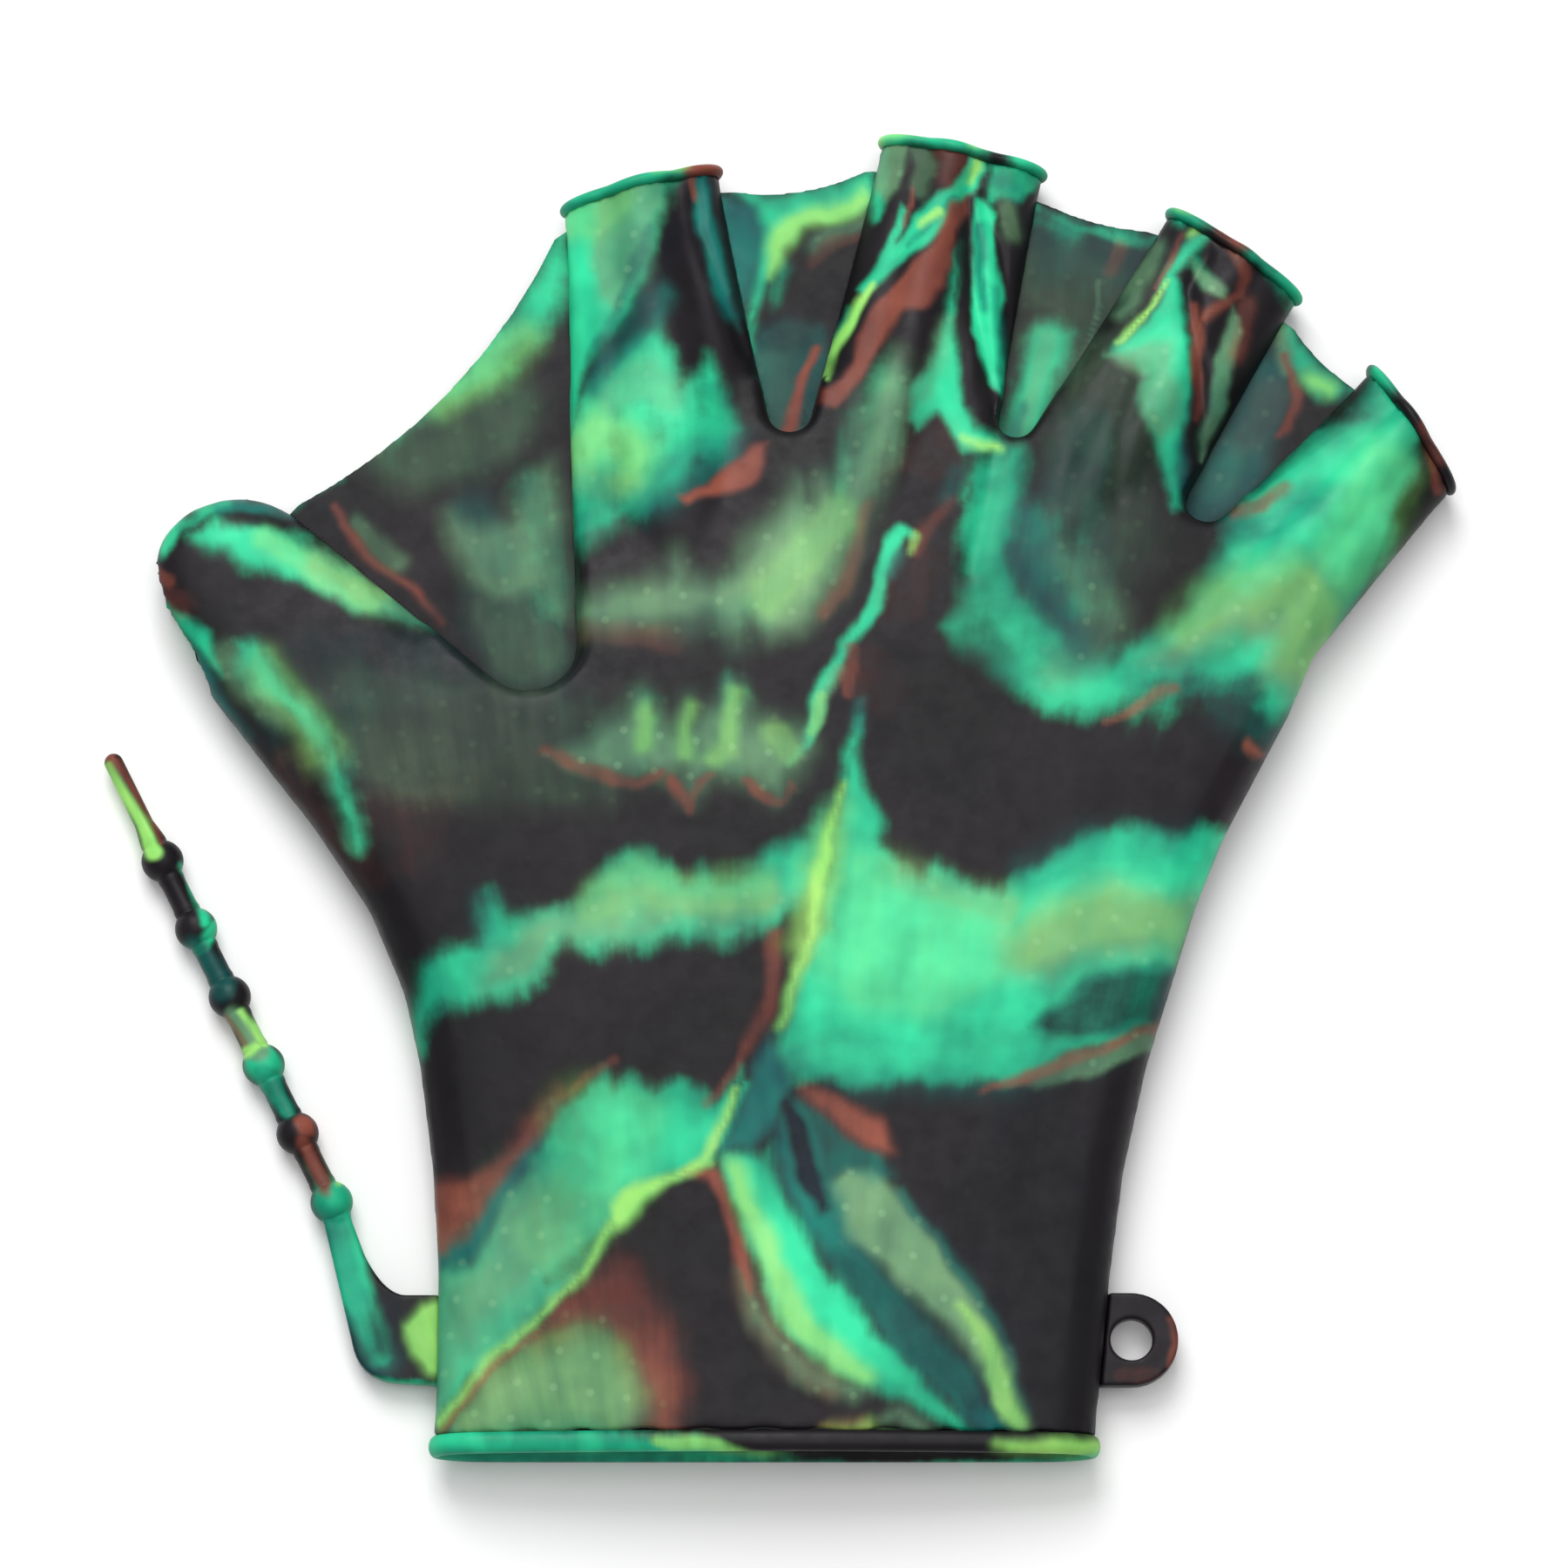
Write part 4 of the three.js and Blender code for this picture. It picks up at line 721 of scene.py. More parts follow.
# %% Drawing: the fingers
FINGERS = [
    # First finger.
    ("emerald", 4, 1, [(322, 545), (345, 532), (365, 526), (386, 524), (402, 528), (398, 545), (391, 560),
        (385, 580), (383, 598), (373, 614), (358, 632), (346, 650), (340, 665), (338, 690), (334, 740),
        (326, 764), (320, 764), (322, 600)]),
    ("olive", 5, 0.75, [(352, 537), (372, 531), (393, 532), (395, 546), (387, 560), (381, 580), (376, 600),
        (362, 614), (352, 604), (348, 580), (350, 555)]),
    ("lime", 8, 0.4, [(335, 560, 4), (346, 556, 6), (368, 540, 5)]),
    ("teal", 3, 0.6, [(384, 562, 2), (376, 582, 3), (372, 600, 3), (360, 618, 3), (350, 636, 3)]),
    ("teal", 5, 0.7, [(344, 664), (352, 640), (366, 622), (380, 606), (392, 598), (402, 604), (392, 618),
        (378, 636), (362, 652), (350, 668)]),
    ("emerald", 5, 0.95, [(350, 656), (365, 642), (378, 626), (388, 618), (393, 634), (400, 640),
        (402, 660), (413, 652), (418, 640), (426, 655), (432, 672), (444, 690), (432, 702), (415, 708),
        (405, 720), (395, 731), (382, 738), (368, 748), (354, 753), (340, 764), (328, 770), (328, 690),
        (340, 668)]),
    ("olive", 9, 0.5, [(362, 668, 6), (380, 656, 9), (396, 668, 7)]),
    ("lime", 10, 0.55, [(334, 704, 7), (352, 692, 8), (376, 700, 6), (372, 716, 4)]),
    ("olive", 7, 0.5, [(336, 716, 5), (356, 722, 6), (376, 722, 4)]),
    ("teal", 6, 0.65, [(395, 706), (418, 694), (446, 692), (442, 704), (426, 716), (410, 729), (395, 739),
        (380, 744), (374, 736), (388, 722)]),
    ("rust", 2.4, 1, [(402, 730), (420, 722), (434, 708), (448, 700), (460, 697), (456, 711), (448, 721),
        (435, 727), (420, 731), (408, 735)]),
    ("teal", 3, 1, [(411, 522), (419, 520), (425, 535), (427, 555), (431, 575), (435, 600), (440, 622),
        (433, 616), (425, 602), (421, 586), (417, 570), (413, 558), (413, 545)]),
    ("emerald", 3, 0.65, [(416, 530, 2), (420, 552, 3), (424, 575, 3), (430, 600, 1.5)]),
    ("rust", 2, 0.85, [(408, 522, 2), (411, 530, 2.4), (413, 541, 1.8)]),
    ("navy", 6, 0.6, [(398, 560, 2), (392, 590, 3), (380, 615, 4), (362, 634, 3)]),
    # Painted shade down the first finger's flank, beside the web.
    ("cover", 3, 0.5, [(438, 620, 3), (442, 660, 3), (446, 690, 3)]),
    # Middle finger.
    ("emerald", 3, 0.75, [(531, 516, 3), (526, 538, 3.4), (520, 556, 2.4)]),
    ("olive", 3, 0.8, [(530, 512), (546, 506), (544, 520), (536, 540), (527, 546), (523, 534)]),
    ("olive", 4, 0.5, [(548, 510, 3), (556, 524, 4), (552, 540, 4)]),
    ("rust", 5, 0.5, [(560, 506), (580, 506), (578, 524), (570, 534), (563, 520)]),
    ("emerald", 2, 1, [(580, 506), (591, 506), (591, 525), (586, 536), (576, 545), (568, 558), (556, 572),
        (545, 580), (530, 590), (521, 598), (515, 606), (511, 600), (520, 584), (529, 571), (538, 549),
        (544, 554), (538, 571), (546, 559), (560, 544), (572, 534), (579, 524)]),
    ("teal", 2, 0.6, [(545, 572, 1.6), (560, 558, 1.8), (574, 542, 1.4)]),
    ("lime", 2, 1, [(588, 508, 2.4), (586, 524, 2.8), (581, 533, 1.8)]),
    ("lime", 2, 0.9, [(563, 553, 3), (551, 562, 1.6)]),
    ("lime", 2, 1, [(520, 596, 2), (512, 611, 3.4), (504, 628, 3.8), (497, 642, 2.8), (492, 656, 1.5)]),
    ("emerald", 2, 0.8, [(508, 612, 2), (498, 632, 2), (492, 648, 1.5)]),
    ("rust", 2.4, 0.9, [(545, 588), (560, 570), (570, 547), (580, 540), (580, 548), (573, 562), (570, 582),
        (562, 600), (553, 612), (541, 613), (531, 625), (521, 640), (513, 656), (505, 669), (497, 676),
        (487, 674), (488, 665), (500, 658), (508, 645), (513, 630), (522, 611), (531, 598), (540, 593)]),
    ("rust", 2, 0.8, [(548, 540, 1.6), (545, 552, 2.6), (540, 562, 1.6)]),
    ("emerald", 2, 1, [(584, 540), (593, 545), (599, 552), (598, 566), (597, 580), (601, 592), (606, 606),
        (601, 620), (602, 640), (603, 656), (600, 668), (594, 656), (588, 640), (584, 625), (582, 600),
        (581, 575)]),
    ("teal", 3, 0.75, [(588, 560, 3.4), (587, 588, 3.4), (592, 612, 2)]),
    ("teal", 3, 0.6, [(598, 600, 2), (602, 630, 3), (601, 660, 2)]),
    ("emerald", 3, 0.75, [(596, 508), (618, 512), (630, 522), (624, 536), (616, 543), (602, 540),
        (592, 545), (596, 525)]),
    ("teal", 4, 0.5, [(600, 530, 3), (614, 540, 4)]),
    ("olive", 5, 0.55, [(606, 548, 4), (610, 566, 4)]),
    ("cover", 3, 0.8, [(575, 560, 2), (574, 585, 3), (570, 605, 2)]),
    # Painted shade down the middle finger's flank, beside the web.
    ("cover", 4, 0.7, [(618, 560, 4), (614, 600, 5), (606, 650, 4)]),
    # Ring finger.
    ("emerald", 3, 0.95, [(712, 556, 5), (726, 552, 5), (742, 560, 5)]),
    ("emerald", 3, 1, [(738, 560, 4), (724, 572, 5), (708, 586, 4), (700, 600, 3)]),
    ("olive", 4, 0.7, [(700, 572, 4), (688, 592, 4), (676, 614, 3)]),
    ("rust", 2, 0.7, [(714, 566, 1.5), (706, 584, 2), (695, 600, 1.5)]),
    ("lime", 2, 1, [(704, 596, 1.6), (692, 610, 1.8), (682, 622, 2), (674, 632, 1.2)]),
    ("lime", 3, 0.6, [(736, 556, 1.6), (720, 566, 2)]),
    ("emerald", 3, 1, [(708, 588), (713, 600), (716, 620), (719, 640), (718, 660), (714, 680), (713, 700),
        (711, 737), (705, 739), (700, 720), (698, 702), (690, 690), (685, 670), (690, 655), (683, 642),
        (668, 641), (675, 631), (690, 618), (700, 604)]),
    ("olive", 5, 0.7, [(668, 640), (690, 634), (706, 634), (709, 660), (706, 688), (699, 696), (690, 690),
        (685, 670), (690, 656)]),
    ("teal", 4, 0.6, [(712, 700, 3), (712, 724, 3)]),
    ("rust", 2.4, 0.75, [(721, 612, 2), (724, 632, 3.4), (723, 655, 3.4), (720, 682, 2.2)]),
    ("olive", 2.6, 0.9, [(722, 580), (731, 589), (740, 599), (737, 609), (728, 602), (723, 593)]),
    ("emerald", 3, 0.7, [(724, 582, 3), (730, 596, 3)]),
    ("rust", 3, 0.75, [(728, 562, 3), (741, 568, 5), (750, 579, 5), (752, 593, 3.4), (747, 604, 3),
        (735, 612, 3), (728, 620, 2)]),
    ("rust", 5, 0.5, [(752, 610, 4), (748, 640, 4)]),
    ("emerald", 5, 0.6, [(752, 572, 4), (766, 582, 5), (778, 596, 5), (784, 606, 4)]),
    ("olive", 3, 0.75, [(742, 612), (749, 630), (746, 650), (741, 665), (736, 680), (728, 696), (724, 706),
        (723, 690), (730, 670), (735, 650), (738, 630)]),
    ("emerald", 3, 0.6, [(744, 622, 2.4), (740, 650, 3), (732, 675, 2.4)]),
    # Painted shade down the ring finger's flank, beside the web.
    ("cover", 8, 0.35, [(675, 660, 4), (680, 690, 6), (690, 715, 5)]),
    ("olive", 16, 0.22, [(672, 650, 6), (664, 700, 12), (662, 760, 12)]),
    ("teal", 10, 0.3, [(654, 690, 4), (646, 730, 8), (650, 770, 8)]),
]

# %% Drawing: the thumb
THUMB = [
    ("emerald", 4, 1, [(97, 750), (108, 746), (115, 736), (122, 741), (135, 746), (150, 748), (170, 755),
        (190, 768), (215, 784), (240, 797), (252, 811), (230, 806), (205, 798), (190, 791), (175, 783),
        (160, 782), (150, 775), (135, 775), (125, 765), (105, 757)]),
    ("olive", 6, 0.8, [(180, 770, 6), (200, 782, 8), (222, 794, 8), (240, 804, 5)]),
    ("lime", 6, 0.4, [(150, 758, 3), (185, 776, 4), (215, 792, 4)]),
    # Emerald along the thumb tip's upper edge: the pigment, with a painted highlight where the round tip
    # meets the light.
    ("emerald", 3, 0.9, [(84, 764, 4), (92, 748, 5), (108, 738, 4), (126, 732, 2)]),
    ("teal", 3, 0.8, [(118, 736, 3), (134, 732, 3.4), (165, 739, 4)]),
    ("cover", 3, 0.75, [(126, 742, 2), (142, 744, 3), (158, 746, 2)]),
    ("rust", 3, 0.7, [(80, 776, 3), (90, 782, 4)]),
    ("rust", 5, 0.35, [(86, 790, 4), (96, 796, 5)]),
    ("emerald", 3, 0.9, [(90, 797), (100, 800), (108, 812), (112, 825), (120, 838), (108, 829), (98, 816),
        (90, 806)]),
    ("teal", 4, 0.85, [(84, 798, 4), (94, 820, 5), (110, 842, 5), (125, 862, 4), (138, 880, 3)]),
    ("emerald", 4.5, 1, [(126, 822), (142, 820), (155, 830), (165, 845), (180, 858), (190, 876), (199, 900),
        (206, 920), (214, 942), (208, 946), (200, 930), (191, 912), (182, 890), (172, 875), (160, 860),
        (145, 848), (132, 836)]),
    ("lime", 8, 0.3, [(150, 835, 3), (170, 860, 5), (186, 886, 4)]),
    ("olive", 6, 0.5, [(120, 828, 4), (140, 845, 5), (158, 866, 4)]),
    ("navy", 5, 0.6, [(165, 872, 2), (182, 900, 3), (198, 930, 3)]),
    ("rust", 8, 0.16, [(170, 895, 3), (190, 925, 4), (212, 960, 3)]),
    # Painted shade on the thumb's lower flank, which turns away from the light.
    ("cover", 6, 0.6, [(125, 870, 5), (150, 895, 6), (178, 925, 6)]),
]
HAND_DRAWING = CUFF + WRIST + PALM + SIDE + FINGERS + THUMB
print("strokes on the hand", len(HAND_DRAWING))

# %% Drawing: the webs
WEBS = {
    "web_thumb_index": [
        ("emerald", 6, 0.95, [(336, 560), (330, 600), (318, 632), (302, 644), (288, 656), (268, 668),
            (248, 676), (228, 690), (244, 664), (270, 640), (292, 616), (310, 592), (322, 574)]),
        ("lime", 9, 0.45, [(256, 668, 3), (282, 652, 4), (306, 632, 4)]),
        ("olive", 14, 0.38, [(222, 700), (246, 682), (275, 672), (300, 668), (296, 688), (275, 705),
            (240, 712)]),
        ("olive", 8, 0.7, [(262, 740), (280, 752), (298, 745), (310, 720), (322, 710), (330, 740),
            (331, 775), (335, 802), (326, 800), (316, 786), (304, 790), (290, 796), (276, 778),
            (266, 756)]),
        ("emerald", 8, 0.5, [(314, 730, 4), (320, 765, 5), (326, 795, 2)]),
        ("teal", 9, 0.4, [(276, 740, 5), (290, 765, 6)]),
        ("olive", 9, 0.35, [(290, 800, 8), (308, 822, 16)]),
        ("teal", 10, 0.2, [(288, 800, 10), (308, 822, 16)]),
        ("rust", 3, 0.7, [(190, 736, 2), (200, 752, 2.6), (212, 765, 2.4), (232, 782, 1.6), (256, 806, 1)]),
        ("olive", 5, 0.5, [(206, 748, 3), (228, 770, 3)]),
        ("navy", 4, 0.9, [(174, 730, 3), (190, 742, 4), (200, 756, 3)]),
        ("emerald", 4, 0.9, [(160, 736, 3), (174, 726, 3), (190, 715, 2.4)]),
    ],
    "web_index_middle": [
        ("teal", 4, 1, [(424, 540), (450, 545), (456, 560), (451, 590), (444, 612), (436, 604),
            (430, 570)]),
        ("emerald", 4, 0.7, [(430, 548, 4), (442, 560, 5), (442, 590, 4)]),
        ("emerald", 3, 1, [(436, 536), (470, 540), (500, 533), (524, 522), (524, 540), (505, 553),
            (480, 563), (466, 576), (459, 590), (451, 612), (447, 642), (442, 636), (445, 600), (451, 572),
            (449, 556)]),
        ("lime", 4, 0.85, [(462, 560), (480, 551), (500, 544), (518, 533), (522, 542), (500, 557),
            (480, 564), (466, 578), (458, 592), (457, 574)]),
        ("olive", 6, 0.35, [(458, 650, 8), (462, 680, 8)]),
        ("teal", 5, 0.6, [(445, 640), (455, 624), (470, 619), (490, 624), (496, 640), (489, 670),
            (479, 692), (462, 698), (450, 690), (446, 667)]),
        ("cover", 9, 0.5, [(470, 630, 6), (482, 610, 8), (498, 590, 8)]),
        ("olive", 5, 0.6, [(486, 574, 3), (502, 562, 4), (514, 556, 3)]),
        ("emerald", 5, 0.5, [(462, 604, 3), (464, 584, 3)]),
        ("rust", 3, 0.4, [(484, 582, 2), (500, 570, 2.6), (512, 566, 2)]),
        ("rust", 2.2, 1, [(488, 636, 3), (481, 655, 4), (474, 672, 4), (466, 692, 4)]),
        ("cover", 2, 0.8, [(481, 672, 1.5), (478, 680, 1.5)]),
    ],
    "web_middle_ring": [
        ("olive", 16, 0.3, [(636, 590, 8), (660, 610, 10), (640, 640, 10)]),
        ("teal", 14, 0.35, [(640, 570, 8), (680, 580, 8)]),
        ("emerald", 2.6, 0.7, [(622, 546, 1.8), (650, 560, 2.2), (672, 568, 2.2), (702, 570, 2.2)]),
        ("emerald", 5, 0.55, [(632, 556, 3), (648, 562, 4)]),
        ("emerald", 4, 0.8, [(674, 566, 3), (694, 568, 4), (704, 562, 3)]),
        ("emerald", 4.5, 1, [(622, 626), (632, 618), (643, 627), (643, 640), (636, 655), (629, 675),
            (621, 695), (612, 706), (602, 706), (598, 696), (605, 675), (612, 650), (618, 636)]),
        ("olive", 5, 0.55, [(630, 630, 3), (624, 655, 4), (612, 690, 3)]),
        ("teal", 3, 0.65, [(614, 672, 3), (606, 694, 3)]),
        ("olive", 3, 0.55, [(664, 598, 1.6), (657, 632, 1.6), (644, 660, 1.8), (626, 688, 1.6)]),
        ("rust", 4, 0.4, [(676, 572, 2), (672, 590, 2)]),
    ],
    "web_ring_pinky": [
        ("teal", 6, 0.75, [(752, 650), (770, 636), (778, 660), (774, 690), (762, 718), (746, 738),
            (726, 750), (708, 744), (722, 715), (738, 690)]),
        ("olive", 10, 0.6, [(764, 660, 6), (752, 695, 8), (734, 724, 7)]),
        ("olive", 4, 0.8, [(772, 618, 3), (778, 638, 4), (778, 652, 3)]),
        ("emerald", 4, 1, [(774, 612), (786, 630), (800, 648), (826, 661), (812, 670), (796, 669),
            (788, 661), (781, 646), (777, 630)]),
        ("lime", 5, 0.7, [(794, 658, 4), (804, 662, 4)]),
        ("rust", 2.6, 0.85, [(778, 640, 1.5), (782, 655, 2.2), (784, 668, 3.4), (779, 685, 3),
            (776, 692, 2)]),
        ("rust", 8, 0.3, [(766, 668, 3), (758, 690, 3)]),
    ],
}

# %% Drawing: the rolled beads, the strap and the tab
ROLLS = [
    ("emerald", 4, 1, [(240, 1305, 16), (300, 1305, 16), (360, 1306, 14), (420, 1310, 8), (456, 1314, 4)]),
    ("teal", 5, 0.6, [(250, 1316, 5), (320, 1317, 5), (400, 1318, 4)]),
    ("lime", 3, 0.7, [(390, 1300, 3), (430, 1306, 4), (474, 1314, 4)]),
    ("emerald", 3, 0.9, [(480, 1320, 3), (560, 1321, 3), (640, 1318, 4), (664, 1310, 5)]),
    ("lime", 4, 0.8, [(596, 1306, 4), (640, 1306, 7), (662, 1306, 4)]),
    ("emerald", 4, 1, [(336, 548, 12), (355, 538, 14), (380, 528, 14), (398, 522, 10)]),
    ("teal", 3, 0.55, [(330, 552, 5), (352, 548, 4), (376, 540, 3)]),
    ("lime", 3, 0.75, [(388, 522, 5), (404, 520, 5)]),
    ("rust", 3, 1, [(412, 522, 8), (424, 520, 8), (434, 524, 6)]),
    ("emerald", 4, 1, [(520, 508, 12), (545, 500, 12), (570, 504, 12), (586, 508, 8)]),
    ("lime", 4, 0.8, [(520, 504, 8), (536, 498, 8), (552, 498, 4)]),
    ("lime", 3, 0.9, [(584, 506, 5), (590, 506, 5)]),
    ("emerald", 4, 0.85, [(614, 514, 8), (626, 520, 9), (636, 530, 8)]),
    ("emerald", 4, 1, [(704, 548, 10), (722, 550, 12), (734, 556, 8)]),
    ("lime", 3, 0.6, [(714, 546, 4), (726, 550, 4)]),
    ("rust", 3, 0.9, [(742, 562, 8), (752, 568, 8)]),
    ("emerald", 4, 0.9, [(764, 578, 9), (778, 592, 9), (790, 608, 9)]),
    ("emerald", 4, 1, [(824, 660, 8), (838, 652, 10)]),
    ("rust", 4, 0.55, [(862, 686, 5), (872, 702, 5)]),
]
STRAP = [
    # The tail and the last ball.
    ("cover", 2, 0.95, [(57, 887, 5), (85, 941, 6)]),
    ("rust", 2, 0.9, [(50, 884, 5), (53, 892, 4), (58, 892, 2), (83, 941, 2)]),
    ("lime", 2, 0.95, [(52, 897, 4), (64, 920, 4.6), (77, 944, 4.6), (80, 948, 6)]),
    ("olive", 3, 0.5, [(50, 894, 2), (70, 934, 2)]),
    # Down the neck, ball by ball.
    ("emerald", 2, 0.95, [(97, 956, 2.2), (113, 988, 3)]),
    ("emerald", 2, 0.95, [(119, 990, 4), (114, 1003, 5), (101, 1007, 4)]),
    ("teal", 3, 0.85, [(109, 1006, 8), (125, 1030, 8)]),
    ("navy", 3, 0.6, [(109, 1006, 8), (125, 1030, 8)]),
    ("navy", 2, 0.7, [(124, 1036, 6)]),
    ("olive", 2.4, 0.95, [(132, 1048, 7), (146, 1070, 8)]),
    ("rust", 2, 0.65, [(127, 1048, 2), (138, 1068, 2)]),
    ("lime", 2, 0.85, [(138, 1046, 2.2), (150, 1066, 3)]),
    ("emerald", 2.4, 1, [(151, 1079, 12)]),
    ("lime", 2, 0.9, [(138, 1074, 4), (146, 1068, 3)]),
    ("emerald", 2.4, 0.9, [(152, 1086, 7), (164, 1108, 6)]),
    ("teal", 3, 0.55, [(152, 1086, 7), (164, 1108, 6)]),
    ("navy", 2, 0.85, [(163, 1088, 3), (174, 1110, 3)]),
    ("rust", 2, 1, [(175, 1117, 7)]),
    ("rust", 2.4, 0.95, [(172, 1126, 5), (185, 1152, 5)]),
    ("olive", 3, 0.4, [(176, 1138, 4), (184, 1152, 4)]),
    ("lime", 2, 0.9, [(184, 1127, 2.2), (195, 1149, 3)]),
    # The first ball and the foot.
    ("emerald", 3, 1, [(192, 1162, 15), (196, 1180, 11), (204, 1204, 11), (213, 1232, 11), (222, 1252, 8)]),
    ("teal", 6, 0.6, [(190, 1172, 7), (199, 1200, 7), (208, 1232, 10), (222, 1254, 12)]),
    ("navy", 5, 0.75, [(216, 1214), (232, 1216), (246, 1240), (240, 1256), (216, 1250), (212, 1232)]),
    ("lime", 4, 0.85, [(236, 1234), (248, 1222), (264, 1216), (264, 1264), (252, 1264), (242, 1252)]),
    ("olive", 5, 0.5, [(244, 1240, 5), (258, 1244, 6)]),
    ("cover", 2, 0.9, [(222, 1211, 3), (240, 1215, 3), (262, 1215, 2.4)]),
    ("emerald", 2, 0.8, [(222, 1268, 2.4), (262, 1271, 2.4)]),
]
TAB = [
    ("rust", 2.5, 0.6, [(702, 1232, 1), (707, 1244, 1.6), (703, 1260, 1)]),
    ("rust", 4, 0.2, [(670, 1266, 1), (692, 1266, 1)]),
]
print("strokes on the rest", sum(len(rows) for rows in (ROLLS, STRAP, TAB, *WEBS.values())))

# %% [markdown]
# A stroke becomes a depth at every vertex: 0 on its edge, growing inwards, in steps of the edge's softness.
# A depth, unlike a colour, can still be roughened by fine noise in the shader, where it costs no vertices.
# A stroke that may cover only part of what is under it stops growing at the depth that gives that share.

# %% From strokes to depths
PIGMENTS = ["emerald", "olive", "teal", "cover", "navy", "rust", "lime"]
OUTSIDE = -4.0
# The softer an edge is, the more it is stretched, up to a limit.
STRETCH, MOST_STRETCH = 0.2, 2.4


def line_depth(x, y, points):
    """How deep each spot lies in a line whose half width changes from point to point."""
    depth = np.full(len(x), -1e9)
    for start, end in zip(points, points[1:] or points):
        gap, share = from_segment(x, y, start, end)
        depth = np.maximum(depth, start[2] + share * (end[2] - start[2]) - gap)
    return depth


def patch_depth(x, y, points):
    """How deep each spot lies in a closed outline."""
    nearest = np.full(len(x), 1e9)
    inside = np.zeros(len(x), bool)
    for (ax, ay), (bx, by) in zip(points, points[1:] + points[:1]):
        nearest = np.minimum(nearest, from_segment(x, y, (ax, ay), (bx, by))[0])
        if ay != by:
            inside ^= ((ay > y) != (by > y)) & (x < ax + (y - ay) * (bx - ax) / (by - ay))
    return np.where(inside, nearest, -nearest)


def depth_for_share(share):
    """The depth at which a smooth step from -1 to 1 reaches this share."""
    if share >= 1:
        return -OUTSIDE
    return 2 * (0.5 - math.sin(math.asin(1 - 2 * share) / 3)) - 1


def depths_of(x, y, drawing):
    """One row of depths for each pigment, from a drawing and the spots' places on the sheet."""
    rows = {pigment: np.full(len(x), OUTSIDE) for pigment in PIGMENTS}
    for pigment, softness, most, points in drawing:
        edge = softness * min(1 + STRETCH * softness, MOST_STRETCH)
        reach = edge * -OUTSIDE + max((p[2] for p in points if len(p) == 3), default=0)
        xs, ys = [p[0] for p in points], [p[1] for p in points]
        beside = (x > min(xs) - reach) & (x < max(xs) + reach)
        near = np.flatnonzero(beside & (y > min(ys) - reach) & (y < max(ys) + reach))
        find = line_depth if len(points[0]) == 3 else patch_depth
        depth = find(x[near], y[near], points) / edge
        depth = np.clip(depth, OUTSIDE, depth_for_share(most))
        rows[pigment][near] = np.maximum(rows[pigment][near], depth)
    return rows

# %% [markdown]
# The sheet covers the upper side as it is seen, so a point's height shifts it a little up the sheet. Slow
# noise bends the strokes a millimetre or so, and fine noise ruffles them. It has a fixed seed, because
# Blender would otherwise start it from the clock. Low on the hand's flanks, and under the webs, the spots
# slide further and further away over the sheet, so the bands turn round the edge and flow on into another
# figure underneath.

# %% Lay the drawing on the pieces
SHEET_UNIT = 0.25 * MM
SHEET_MIDDLE = (467.2, 913.2)
# How much Y and Z count up the sheet: the sine and cosine of SEEN_FROM, to three places.
UP_FROM_Y, UP_FROM_Z = 0.978, 0.208
BEND, BEND_SCALE = 5.0, 130
RUFFLE, RUFFLE_SCALE = 1.6, 420
SLIDE = (70.0, -55.0)
SEED = 11
noise.seed_set(SEED)


def noise_at(spots, scale):
    """A random but smooth shift for each spot."""
    return np.array([noise.noise_vector(Vector(spot) * scale) for spot in spots])


def sheet_places(made, turned_under):
    """Where each vertex lies on the drawing's sheet. Where turned_under is 1 it has slid off fully."""
    spots = spots_of(made)
    shift = BEND * noise_at(spots, BEND_SCALE) + RUFFLE * noise_at(spots, RUFFLE_SCALE)
    up = UP_FROM_Y * spots[:, 1] + UP_FROM_Z * spots[:, 2]
    x = SHEET_MIDDLE[0] + spots[:, 0] / SHEET_UNIT + shift[:, 0] + SLIDE[0] * turned_under
    y = SHEET_MIDDLE[1] - up / SHEET_UNIT + shift[:, 1] + SLIDE[1] * turned_under
    return x, y


def lay_on(made, drawing, turned_under=0.0):
    """Stores a drawing's depths on a piece, one attribute for each pigment."""
    rows = depths_of(*sheet_places(made, turned_under), drawing)
    for pigment, depth in rows.items():
        layer = made.data.attributes.new(pigment, "FLOAT", "POINT")
        layer.data.foreach_set("value", depth.astype(np.float32))
    covered = {pigment: int((depth > 0).sum()) for pigment, depth in rows.items()}
    print(made.name, len(made.data.vertices), "vertices,", covered)


SLID_OFF, STILL_ON = 0.5 * MM, 6.5 * MM
lay_on(hand, HAND_DRAWING, 1 - ramp(spots_of(hand)[:, 2], SLID_OFF, STILL_ON))
for node, web in webs.items():
    lay_on(web, WEBS[node], 1 - ramp(directions_of(web)[:, 2], -0.8, 0.0))
for roll in rolls.values():
    lay_on(roll, ROLLS)
for piece in (strap_beads, strap_foot):
    lay_on(piece, STRAP)
lay_on(tab, TAB)

# %% [markdown]
# ## The silicone's shader
#
# All pieces share two node groups. The first lays one pigment over what lies under it: it adds the grain to
# the stored depth and turns the sum into a mask. The grain is what makes a band's edge ragged like torn
# paper where the flow crossed it. The groups hand out colours and values only, and the shader itself stays
# in the material.

# %% Group: one pigment over another
def hex_colour(code):
    """A web colour as the linear values that a shader takes."""
    parts = [int(code[i:i + 2], 16) / 255 for i in (1, 3, 5)]
    return [((p + 0.055) / 1.055) ** 2.4 if p > 0.04045 else p / 12.92 for p in parts] + [1.0]


def new_group(name, inputs, outputs):
    """A shader node group with its sockets, and its first and last node."""
    group = bpy.data.node_groups.new(name, "ShaderNodeTree")
    for title, kind in inputs:
        group.interface.new_socket(title, in_out="INPUT", socket_type="NodeSocket" + kind)
    for title, kind in outputs:
        group.interface.new_socket(title, in_out="OUTPUT", socket_type="NodeSocket" + kind)
    return group, group.nodes.new("NodeGroupInput"), group.nodes.new("NodeGroupOutput")


